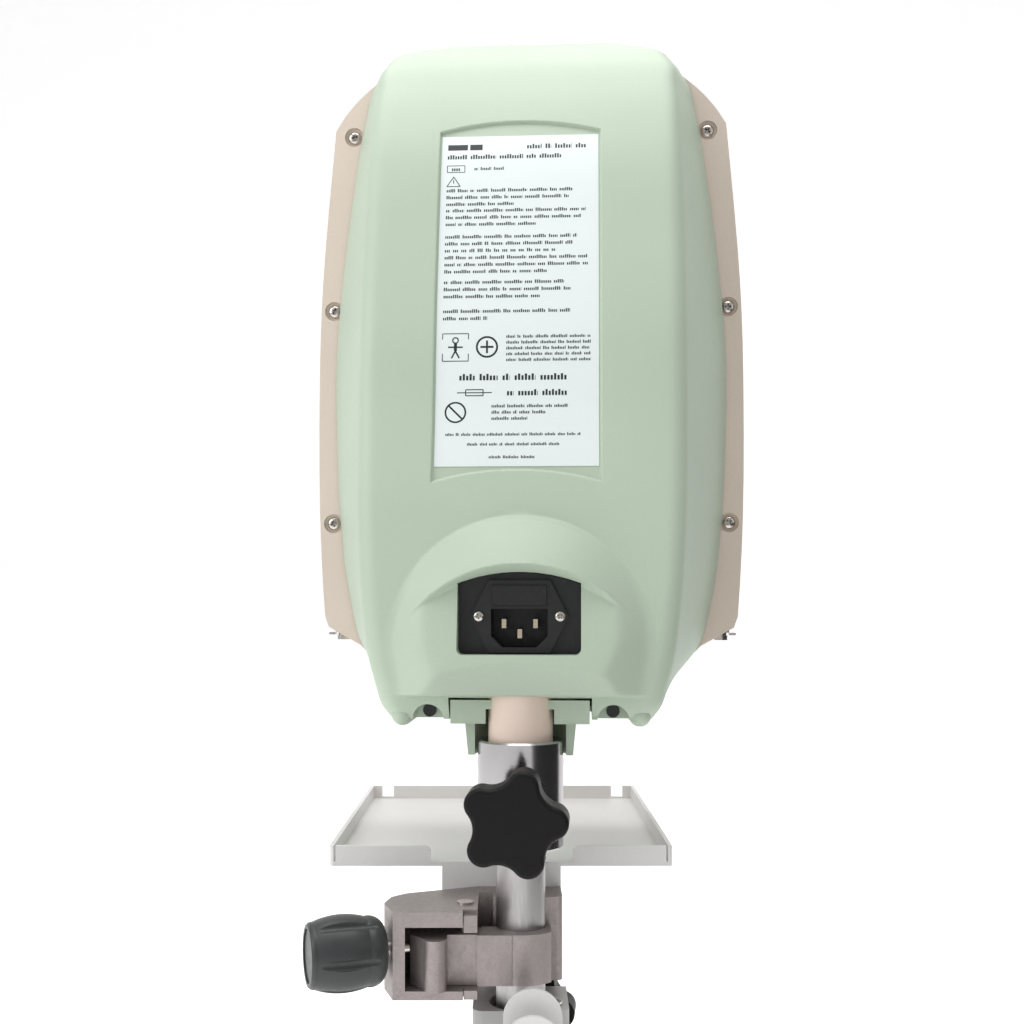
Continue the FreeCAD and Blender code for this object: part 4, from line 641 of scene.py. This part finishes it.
def shell_rows(sizes, inset, detail):
    """Points of the shell's outside, or of its plain inside when inset."""
    wanted = shell_heights() if detail else np.linspace(STATION_HEIGHTS[0], SHELL_TOP, 60)
    share = (wanted - wanted[0]) / (wanted[-1] - wanted[0])
    heights = wanted + inset * (1 - 2 * share)
    back_half, seam_half = [smooth_through(STATION_HEIGHTS, SHELL_STATIONS[:, column], wanted) - inset
                            for column in (1, 2)]
    back_y = back_surface(wanted) + inset
    radius = np.minimum(sizes.corner / MM, 0.4 * (SEAM_Y - back_y))
    sides, arcs = 12, 8
    rows = []
    for z, half, seam, y, corner_radius in zip(heights, back_half, seam_half, back_y, radius):
        corner = np.array((half, y))
        edge = np.array((seam, SEAM_Y))
        along = (edge - corner) / np.linalg.norm(edge - corner)
        opening = math.acos(-along[0])
        reach = corner_radius / math.tan(opening / 2)
        on_side, on_back = corner + along * reach, corner - np.array((reach, 0))
        inward = np.array((along[0] - 1, along[1]))
        centre = corner + inward / np.linalg.norm(inward) * corner_radius / math.sin(opening / 2)
        start = math.atan2(*(on_back - centre)[::-1])
        stop = math.atan2(*(on_side - centre)[::-1])

        def half_row(side):
            """Points from the middle out to the seam, on the right or the left."""
            recess_edge = RECESS["half"] + side * RECESS["shift"]
            flat = shell_columns(recess_edge) if detail else np.linspace(0, COLUMN_REACH, 9)
            flat = flat * min(1.0, on_back[0] / (COLUMN_REACH + 0.5))
            flat = np.append(flat, np.linspace(flat[-1], on_back[0], 4)[1:])
            depth = shell_back(side * flat, np.full_like(flat, z), sizes) if detail else np.full_like(flat, y)
            points = list(zip(flat, depth))
            drift = depth[-1] - y
            for turn in np.linspace(start, stop, arcs + 1)[1:]:
                fade = 1 - (turn - start) / (stop - start)
                points.append((centre[0] + corner_radius * math.cos(turn),
                               centre[1] + corner_radius * math.sin(turn) + drift * fade))
            points += [tuple(on_side + (edge - on_side) * step / sides) for step in range(1, sides + 1)]
            return [(side * across, depth_there, z) for across, depth_there in points]

        rows.append(half_row(-1)[:0:-1] + half_row(1))
    return np.array(rows)


def zip_chains(first, second, points):
    """Triangles between two chains of point numbers that climb side by side."""
    faces, left, right = [], 0, 0
    while left < len(first) - 1 or right < len(second) - 1:
        ahead = right == len(second) - 1 or (
            left < len(first) - 1 and points[first[left + 1]][2] <= points[second[right + 1]][2])
        if ahead:
            faces.append((first[left], first[left + 1], second[right]))
            left += 1
        else:
            faces.append((first[left], second[right + 1], second[right]))
            right += 1
    return faces


def shell_solid(sizes):
    """Closed wall between the detailed outside and the plain inside."""
    points, faces, grids = [], [], []
    for rows in (shell_rows(sizes, 0.0, True), shell_rows(sizes, sizes.wall / MM, False)):
        count, columns = rows.shape[:2]
        base = len(points)
        points += rows.reshape(-1, 3).tolist()
        faces += [tuple(base + corner for corner in face) for face in grid_faces(count, columns)]
        grid = base + np.arange(count * columns).reshape(count, columns)
        faces += [tuple(grid[0].tolist()), tuple(grid[-1].tolist())]
        grids.append(grid.tolist())
    outer, inner = grids
    for side in (0, -1):
        faces += zip_chains([row[side] for row in outer], [row[side] for row in inner], points)
    for end in (0, -1):
        faces.append((outer[end][0], outer[end][-1], inner[end][-1], inner[end][0]))
    return points, faces


def arched_outline(half, low, side, high, corner):
    """Outline in X and Z with an arched top and round lower corners."""
    outline = []
    for centre, start in ((corner - half, math.pi), (half - corner, 1.5 * math.pi)):
        outline += [(centre + corner * math.cos(turn), low + corner + corner * math.sin(turn))
                    for turn in np.linspace(start, start + math.pi / 2, 6)]
    return outline + [(x, side + float(arch_rise(x, half, high - side)))
                      for x in np.linspace(half, -half, 24)]


def tool(name, points, faces):
    return add_object(name, points, faces, None, False)


# millimetres; up, low and high are heights over the shell's lowest row
NUB = {"x": 53.5, "y": 0.5, "up": 1.8, "length": 66.0}
CUP = {"x": 41.5, "half": 9.5, "low": 0.5, "high": 10.5, "bore": 7.0}
POST_WAY = {"radius": 14.8, "above_foot": 11.6}
BLOCK_WAY = {"half": 32.0, "front": -18.0, "back": 37.0, "low": -5.0, "high": 10.0}
# slack of the opening round the inlet's panel, the rise of its arch and its corner radius
PANEL_GAP = 0.2
PANEL_RISE = 4.8
PANEL_CORNER = 2.6


class PUMP_OT_rear_shell(Operator):
    """Mould the green rear shell with its label recess and inlet hood"""
    bl_idname = "pump.rear_shell"
    bl_label = "Rear Shell"

    def execute(self, context):
        sizes = context.scene.pump_sizes
        piece = tidy_normals(add_object("rear_shell_moulding", *shell_solid(sizes), "green_plastic"))
        bottom = STATION_HEIGHTS[0]
        boolean(piece, "UNION", *self.feet(bottom))
        boolean(piece, "DIFFERENCE", self.window(), *self.ways(bottom))
        piece.data.materials.clear()
        piece.data.materials.append(finishes.get("green_plastic"))
        crease_edges(piece, 42)
        hand_in(piece, "head", "green_plastic", "rear_shell")
        return {"FINISHED"}

    def feet(self, bottom):
        """A round-nosed nub and a block for a screw cup on each side."""
        nose = lathe([(0, -5), (2.2, -4.5), (4.2, -2.9), (5, 0), (5, NUB["length"]), (0, NUB["length"])], 32)
        feet = []
        for side in (-1, 1):
            where = (side * NUB["x"], NUB["y"], bottom + NUB["up"])
            feet.append(tool("nub", placed(nose[0], where, (0, 1, 0)), nose[1]))
            outline = rectangle(side * CUP["x"] - CUP["half"], side * CUP["x"] + CUP["half"],
                                bottom + CUP["low"], bottom + CUP["high"])
            feet.append(tool("cup", *prism(outline, -3, 10)))
        return feet

    def window(self):
        """The arched opening round the inlet's panel."""
        outline = arched_outline(PANEL_HIGH[0] + PANEL_GAP, PANEL_LOW[2] - PANEL_GAP,
                                 PANEL_HIGH[2] - PANEL_RISE, PANEL_HIGH[2] + PANEL_GAP, PANEL_CORNER)
        return tool("window", *prism(outline, -60, 30))

    def ways(self, bottom):
        """Room for the post, the base block and the screws in their cups."""
        radius, top = POST_WAY["radius"], HOOD["foot"] + POST_WAY["above_foot"]
        post = lathe([(0, bottom - 20), (radius, bottom - 20), (radius, top), (0, top)], 72)
        outline = rectangle(-BLOCK_WAY["half"], BLOCK_WAY["half"],
                            bottom + BLOCK_WAY["low"], bottom + BLOCK_WAY["high"])
        ways = [tool("post_way", *post),
                tool("block_way", *prism(outline, BLOCK_WAY["front"], BLOCK_WAY["back"]))]
        bore = lathe([(0, -30), (CUP["bore"], -30), (CUP["bore"], 5), (0, 5)], 40)
        for side in (-1, 1):
            ways.append(tool("pocket", placed(bore[0], (side * CUP["x"], 0, bottom), (0, 1, 0)), bore[1]))
        return ways


# ---- rating label ------------------------------------------------------------------------------

# thickness of the film, and how far the ink stands off it
FILM = 0.3
INK = 0.04
LABEL_TOP = RECESS["high"] - 2.0
LABEL_HALF = RECESS["half"] - 0.9


def label_y(z, lift=0.0):
    """Y of the film's face, or of a layer lifted off it."""
    recess = bpy.context.scene.pump_sizes.recess / MM
    return back_surface(z) + recess - FILM - lift


class PUMP_OT_rating_label(Operator):
    """Lay the pale label in its recess and print it with unlettered rows and plain symbols"""
    bl_idname = "pump.rating_label"
    bl_label = "Rating Label"

    def execute(self, context):
        heights = np.linspace(LABEL_FOOT + 0.5, LABEL_TOP, 70)
        across = np.linspace(-LABEL_HALF, LABEL_HALF, 25) + RECESS["shift"]
        points = [(x, float(label_y(z)) + layer, z) for layer in (0.0, FILM - 0.02)
                  for z in heights for x in across]
        count = len(heights) * len(across)
        front = grid_faces(len(heights), len(across))
        faces = front + [tuple(count + corner for corner in face[::-1]) for face in front]
        grid = np.arange(count).reshape(len(heights), len(across))
        for line in (grid[0], grid[-1][::-1], grid[::-1, 0], grid[:, -1]):
            faces += [(a, a + count, b + count, b) for a, b in zip(line, line[1:])]
        sheet = tidy_normals(add_object("label_film_sheet", points, faces, "label_film"))
        hand_in(crease_edges(sheet), "head", "label_film", "rating_label")
        hand_in(self.printing(), "head", "label_film")
        return {"FINISHED"}

    def printing(self):
        """Word-like dashes in rows, a few bold bars and line symbols, all unlettered."""
        points, faces = [], []
        top = LABEL_TOP

        def patch(corners):
            faces.append(tuple(range(len(points), len(points) + len(corners))))
            points.extend([(x, float(label_y(z, INK)), z) for x, z in corners])

        def bar(x0, x1, z0, z1):
            levels = np.linspace(z0, z1, max(1, int((z1 - z0) / 2)) + 1)
            for low, high in zip(levels, levels[1:]):
                patch(rectangle(x0, x1, low, high))

        def stroke(start, stop, width=0.45):
            """A line of ink between two points."""
            (x0, z0), (x1, z1) = start, stop
            reach = math.hypot(x1 - x0, z1 - z0)
            side = (-(z1 - z0) / reach * width / 2, (x1 - x0) / reach * width / 2)
            patch(((x0 + side[0], z0 + side[1]), (x0 - side[0], z0 - side[1]),
                   (x1 - side[0], z1 - side[1]), (x1 + side[0], z1 + side[1])))

        def path(corners, width=0.45, closed=True):
            ends = corners[1:] + corners[:1] if closed else corners[1:]
            for start, stop in zip(corners, ends):
                stroke(start, stop, width)

        def ring(x, z, radius, width=0.5):
            path([(x + radius * math.cos(turn), z + radius * math.sin(turn))
                  for turn in np.linspace(0, 2 * math.pi, 32, endpoint=False)], width)

        def words(x0, x1, z, size, seed):
            """A row of dashes whose lengths repeat in no simple way."""
            x = x0
            step = seed
            while x < x1 - size:
                step = (step * 7 + 5) % 11
                stop = min(x + size * (1.1 + 0.42 * step), x1)
                letter = x
                while letter < stop:
                    tall = 0.72 + 0.28 * ((step + int(letter * 3)) % 3 == 0)
                    bar(letter, min(letter + size * 0.34, stop), z, z + size * tall)
                    letter += size * 0.52
                x = stop + size * 0.75

        left, right = RECESS["shift"] - 34.6, RECESS["shift"] + 33.8
        for width, x in ((9.5, left), (6.0, left + 10.6)):
            bar(x, x + width, top - 7.6, top - 4.6)
        words(left + 38, right - 2, top - 7.2, 2.5, 3)
        words(left, left + 56, top - 12.4, 2.3, 5)
        path(rectangle(left, left + 8.4, top - 19.4, top - 15.9), 0.35)
        words(left + 2.2, left + 6.4, top - 18.7, 2.0, 2)
        words(left + 13, left + 27, top - 18.4, 1.6, 4)
        path([(left, top - 26.8), (left + 6.4, top - 26.8), (left + 3.2, top - 21.8)], 0.4)
        bar(left + 3.0, left + 3.4, top - 25.2, top - 23.4)
        rows = ((27.9, 60, 6), (31.4, 58, 2), (34.9, 34, 7), (38.2, 66, 4), (41.7, 64, 9), (45.2, 44, 3),
                (51.6, 64, 5), (55.1, 60, 8), (58.6, 52, 1), (62.1, 67, 6), (65.6, 67, 3), (69.1, 48, 9),
                (74.4, 56, 4), (77.9, 59, 2), (81.4, 46, 7), (88.6, 60, 5), (92.1, 22, 8))
        for down, width, seed in rows:
            words(left, left + width, top - down - 1.9, 1.7, seed)
        box_low, box_high = top - 113.5, top - 100.5
        path(rectangle(left, left + 12, box_low, box_high), 0.4)
        ring(left + 6, box_high - 3.2, 1.3, 0.6)
        path([(left + 6, box_high - 4.6), (left + 6, box_high - 8.2)], 1.4, False)
        path([(left + 2.6, box_high - 6.4), (left + 9.4, box_high - 6.4)], 0.7, False)
        path([(left + 4.2, box_low + 1.4), (left + 6, box_high - 8.2), (left + 7.8, box_low + 1.4)],
             0.7, False)
        ring(left + 20.6, box_low + 6.6, 4.7, 0.9)
        path([(left + 17.6, box_low + 6.6), (left + 23.6, box_low + 6.6)], 0.9, False)
        path([(left + 20.6, box_low + 3.6), (left + 20.6, box_low + 9.6)], 0.9, False)
        for line in range(5):
            words(left + 29.5, right, box_high - 2.2 - 2.75 * line, 1.45, 3 + 2 * line)
        words(left + 8, left + 61, top - 122.6, 3.0, 6)
        fuse_z = top - 128.4
        path([(left + 7, fuse_z), (left + 23, fuse_z)], closed=False)
        path(rectangle(left + 11, left + 19, fuse_z - 1.4, fuse_z + 1.4))
        words(left + 30, left + 61, fuse_z - 1.4, 2.8, 4)
        ring(left + 6.4, top - 137.6, 4.6, 0.8)
        path([(left + 3.2, top - 134.4), (left + 9.6, top - 140.8)], 0.8, False)
        for line in range(3):
            words(left + 23, left + 58 - 8 * line, top - 135.4 - 2.9 * line, 1.5, 5 + line)
        words(left + 2, left + 64, top - 148.6, 1.35, 3)
        words(left + 12, left + 54, top - 153.2, 1.35, 8)
        words(left + 22, left + 43, top - 159.2, 1.35, 5)
        return add_object("label_print", points, faces, "label_ink", False)


# ---- keys and displays -------------------------------------------------------------------------

def block(x, z, half_x, half_z):
    """A rectangle round its centre."""
    return rectangle(x - half_x, x + half_x, z - half_z, z + half_z)


def gapped_ring(radius, width, gap):
    """Blocks of a ring that is open at the top."""
    turns = np.linspace(math.pi / 2 + gap, 2.5 * math.pi - gap, 25)
    inner, outer = radius - width / 2, radius + width / 2
    return [[(inner * math.cos(a), inner * math.sin(a)), (outer * math.cos(a), outer * math.sin(a)),
             (outer * math.cos(b), outer * math.sin(b)), (inner * math.cos(b), inner * math.sin(b))]
            for a, b in zip(turns, turns[1:])]


KEY_MARKS = {
    "inflate": [block(0, 0, 3.2, 0.5), block(0, 1.85, 0.5, 1.35), block(0, -1.85, 0.5, 1.35)],
    "deflate": [block(0, 0, 3.2, 0.5)],
    "up": [[(-3, -2), (3, -2), (0, 2.4)]],
    "down": [[(-3, 2), (0, -2.4), (3, 2)]],
    "power": gapped_ring(2.9, 0.8, 0.6) + [block(0, 2.4, 0.4, 1.6)],
}

# columns that rise along X, a line under them and a short bar above
DISPLAY_BARS = [block(-24 + 12 * step, -6 + 2.2 * step, 3.6, 9 + 2.2 * step) for step in range(5)]
DISPLAY_BARS += [block(0, -26, 29, 1.2), block(-17, 27, 12, 2.2)]


def flat_marks(name, outlines, centre, depth, finish, body, slot):
    """Outlines in X and Z round a centre, laid on a face that looks along +Y."""
    points, faces = [], []
    for outline in outlines:
        faces.append(tuple(range(len(points), len(points) + len(outline))))
        points += [(centre[0] + x, depth, centre[1] + z) for x, z in outline]
    return hand_in(add_object(name, points, faces, finish, False), body, slot)


class PUMP_OT_front_marks(Operator):
    """Print plain symbols on the keys and light plain bars on the two displays"""
    bl_idname = "pump.front_marks"
    bl_label = "Key and Display Marks"

    def execute(self, context):
        for key in sorted(name for name in NODES if name.endswith("_key")):
            low, high = span(key)
            word = key.split("_")[-2]
            flat_marks(f"{key}_mark", KEY_MARKS[word], (low + high)[[0, 2]] / 2, high[1] + 0.05, "label_ink",
                       key, "key_rubber")
        for side, (low, high) in zip(("right", "left"), loose_boxes("display_windows")):
            flat_marks(f"{side}_display_bars", DISPLAY_BARS, (low + high)[[0, 2]] / 2, high[1] + 0.06,
                       "display_segment", "head", "window_glass")
        return {"FINISHED"}


# ---- stage -------------------------------------------------------------------------------------

# name, place in metres, width, share of the key light's power and the point it faces
SOFTBOXES = (
    ("left_softbox", (-0.95, -0.55, 0.85), 0.9, 1.75, (0, 0.03, 0.36)),
    ("right_softbox", (1.00, -0.40, 0.75), 0.9, 0.3, (0, 0.03, 0.36)),
    ("top_softbox", (0.0, 0.05, 1.25), 1.0, 2.9, (0, 0.05, 0.3)),
)
SENSOR_WIDTH = 36.0
FRAME_SHIFT = (0.0048, 0.0762)
FLOOR_GLOW = 0.43


class PUMP_OT_stage(Operator):
    """Set the pale floor, the soft lights and the camera"""
    bl_idname = "pump.stage"
    bl_label = "Stage"

    def execute(self, context):
        stage = context.scene.pump_stage
        self.floor()
        self.card()
        self.lights(stage)
        self.camera(context, stage)
        return {"FINISHED"}

    def floor(self):
        """A floor that curves up into a backdrop."""
        half, front, bend, radius, high = 4000.0, -2600.0, 1600.0, 900.0, 2600.0
        profile = [(front, 0.0), (bend, 0.0)]
        profile += [(bend + radius * math.sin(turn), radius * (1 - math.cos(turn)))
                    for turn in np.linspace(0, math.pi / 2, 16)[1:]]
        profile.append((bend + radius, high))
        points = [(x, y, z - 0.2) for y, z in profile for x in (-half, half)]
        floor = add_object("studio_floor", points, grid_faces(len(profile), 2), None)
        made = Nodes("floor_paper")
        fibre = made.noise(40.0, 3.0)
        made.colour(made.mix(made.ramp(fibre, 0.0, 1.0), (0.88, 0.88, 0.88), (0.92, 0.92, 0.92)))
        made.roughness(made.ramp(fibre, 0.8, 0.95))
        made.set(emission_color=(1.0, 1.0, 1.0, 1.0), emission_strength=FLOOR_GLOW)
        floor.data.materials.append(made.material)

    def card(self):
        """A dark card beside the camera that gives the polished collar its dark band."""
        bends = ((330, -500), (590, -150), (560, 95), (450, 315))
        corners = [(x, y, z) for x, y in bends for z in (-80, 330)]
        card = add_object("dark_card", corners, grid_faces(len(bends), 2), None)
        made = Nodes("card_black")
        made.set(roughness=0.9, base_color=(0.01, 0.01, 0.01, 1.0))
        card.data.materials.append(made.material)
        card.visible_camera = False
        card.visible_shadow = False

    def lights(self, stage):
        world = bpy.data.worlds.new("even_room")
        world.use_nodes = True
        background = world.node_tree.nodes["Background"]
        background.inputs["Color"].default_value = (1.0, 1.0, 1.0, 1.0)
        background.inputs["Strength"].default_value = stage.room
        bpy.context.scene.world = world
        for name, place, width, share, aim in SOFTBOXES:
            data = bpy.data.lights.new(name, "AREA")
            data.energy = stage.key * share
            data.size = width
            lamp = bpy.data.objects.new(name, data)
            lamp.location = place
            lamp.rotation_euler = (Vector(aim) - Vector(place)).to_track_quat("-Z", "Y").to_euler()
            bpy.context.scene.collection.objects.link(lamp)

    def camera(self, context, stage):
        data = bpy.data.cameras.new("camera")
        data.lens = stage.lens
        data.sensor_width = SENSOR_WIDTH
        data.shift_x, data.shift_y = FRAME_SHIFT
        data.clip_end = 50.0
        lens = bpy.data.objects.new("camera", data)
        turn = Matrix.Rotation(stage.turn, 4, "Z")
        lens.location = turn @ Vector((stage.aside, -stage.distance, stage.eye))
        lens.rotation_euler = (math.pi / 2, 0.0, stage.turn)
        context.scene.collection.objects.link(lens)
        context.scene.camera = lens
        context.scene.view_settings.view_transform = "Standard"


# ---- other nodes -------------------------------------------------------------------------------

# rounding in millimetres on the nodes whose edges catch the light
SOFT_EDGES = {"clamp_body": 1.0, "clamp_jaw": 1.0, "lower_bracket": 1.2, "tray": 0.45, "hose_hook": 0.45,
              "collar": 0.35, "base_block": 0.8, "neck_shroud": 0.6, "inlet_housing": 0.35,
              "fuse_drawer": 0.4, "inlet_contacts": 0.25, "pivot_pin": 0.3, "front_bezel": 0.5}


class PUMP_OT_rest(Operator):
    """Finish every other CAD node"""
    bl_idname = "pump.rest"
    bl_label = "Other Nodes"

    def execute(self, context):
        slots = {entry["node"]: entry["material_slot"] for entry in frame["record"]["subparts"]}
        for name in NODES:
            dress(name, slots[name], SOFT_EDGES.get(name, 0.0) * MM)
        return {"FINISHED"}


# ---- cross-headed screws -----------------------------------------------------------------------

def loose_boxes(node):
    """Corners in millimetres of each separate body of a CAD node, in their order along X."""
    work = bmesh.new()
    work.from_mesh(NODES[node].data)
    bmesh.ops.remove_doubles(work, verts=work.verts, dist=1e-5)
    waiting = set(work.verts)
    boxes = []
    while waiting:
        found = [waiting.pop()]
        for vertex in found:
            near = {edge.other_vert(vertex) for edge in vertex.link_edges} & waiting
            waiting -= near
            found += near
        points = np.array([NODES[node].matrix_world @ vertex.co for vertex in found]) / MM
        boxes.append((points.min(axis=0), points.max(axis=0)))
    work.free()
    return sorted(boxes, key=lambda corners: tuple(corners[0]))


def cross_recess(radius, top):
    """The tapered cross that a screwdriver fits, cut down from the top of a head."""
    long, thick, depth = radius * 0.56, radius * 0.15, radius * 0.55
    corner = [(long, -thick), (long, thick), (thick, thick)]
    outline = [(x * math.cos(turn) - y * math.sin(turn), x * math.sin(turn) + y * math.cos(turn))
               for turn in (0, math.pi / 2, math.pi, 1.5 * math.pi) for x, y in corner]
    points = [(x, y, top + 0.3) for x, y in outline]
    points += [(x * 0.42, y * 0.42, top - depth) for x, y in outline]
    return points, tube_faces(len(outline))


class PUMP_OT_screws(Operator):
    """Cut cross-headed screws for the housing and the inlet"""
    bl_idname = "pump.screws"
    bl_label = "Cross-headed Screws"

    def execute(self, context):
        for node, turned in (("housing_screws", 0.4), ("inlet_screws", 0.15)):
            heads = []
            for index, (low, high) in enumerate(loose_boxes(node)):
                radius = (high[0] - low[0]) / 2
                rise = min(radius * 0.62, high[1] - low[1])
                shape = [(0, -1.5), (radius * 0.55, -1.5), (radius * 0.55, 0), (radius, 0),
                         (radius, rise * 0.35), (radius * 0.94, rise * 0.62), (radius * 0.76, rise * 0.86),
                         (radius * 0.5, rise * 0.97), (0, rise)]
                head = add_object(f"{node}_{index}", *lathe(shape, 40), "screw_steel")
                boolean(tidy_normals(head), "DIFFERENCE", tool("cross", *cross_recess(radius, rise)))
                head.data.materials.clear()
                head.data.materials.append(finishes.get("screw_steel"))
                where = Matrix.Translation(Vector(((low[0] + high[0]) / 2, low[1] + rise,
                                                   (low[2] + high[2]) / 2)) * MM)
                lean = Matrix.Rotation(math.pi / 2, 4, "X") @ Matrix.Rotation(turned + index * 0.7, 4, "Z")
                head.data.transform(where @ lean)
                crease_edges(head, 34)
                heads.append(head)
            joined = self.join(context, heads, node.replace("_", "_head_"))
            hand_in(joined, "head", "screw_steel", node)
        return {"FINISHED"}

    def join(self, context, heads, name):
        with context.temp_override(active_object=heads[0], selected_editable_objects=heads):
            bpy.ops.object.join()
        heads[0].name = name
        return heads[0]


class PUMP_PT_sidebar(Panel):
    """Lists the pump's pieces"""
    bl_idname = "PUMP_PT_sidebar"
    bl_label = "Pole Pump"
    bl_space_type = "VIEW_3D"
    bl_region_type = "UI"
    bl_category = "Pole Pump"

    def draw(self, context):
        for operator in MAKERS:
            self.layout.operator(operator.bl_idname)
        for group in (context.scene.pump_finishes, context.scene.pump_sizes, context.scene.pump_stage):
            for name in group.__annotations__:
                self.layout.prop(group, name)


MAKERS = (PUMP_OT_rest, PUMP_OT_rear_shell, PUMP_OT_rating_label, PUMP_OT_screws,
          PUMP_OT_front_marks, PUMP_OT_stage)
CLASSES = (PumpFinishes, PumpSizes, PumpStage, *MAKERS, PUMP_PT_sidebar)


def register():
    for kind in CLASSES:
        bpy.utils.register_class(kind)
    bpy.types.Scene.pump_finishes = PointerProperty(type=PumpFinishes)
    bpy.types.Scene.pump_sizes = PointerProperty(type=PumpSizes)
    bpy.types.Scene.pump_stage = PointerProperty(type=PumpStage)


def unregister():
    for name in ("pump_finishes", "pump_sizes", "pump_stage"):
        delattr(bpy.types.Scene, name)
    for kind in reversed(CLASSES):
        bpy.utils.unregister_class(kind)


def main():
    register()
    for operator in MAKERS:
        group, name = operator.bl_idname.split(".")
        getattr(getattr(bpy.ops, group), name)()


if __name__ == "__main__":
    main()
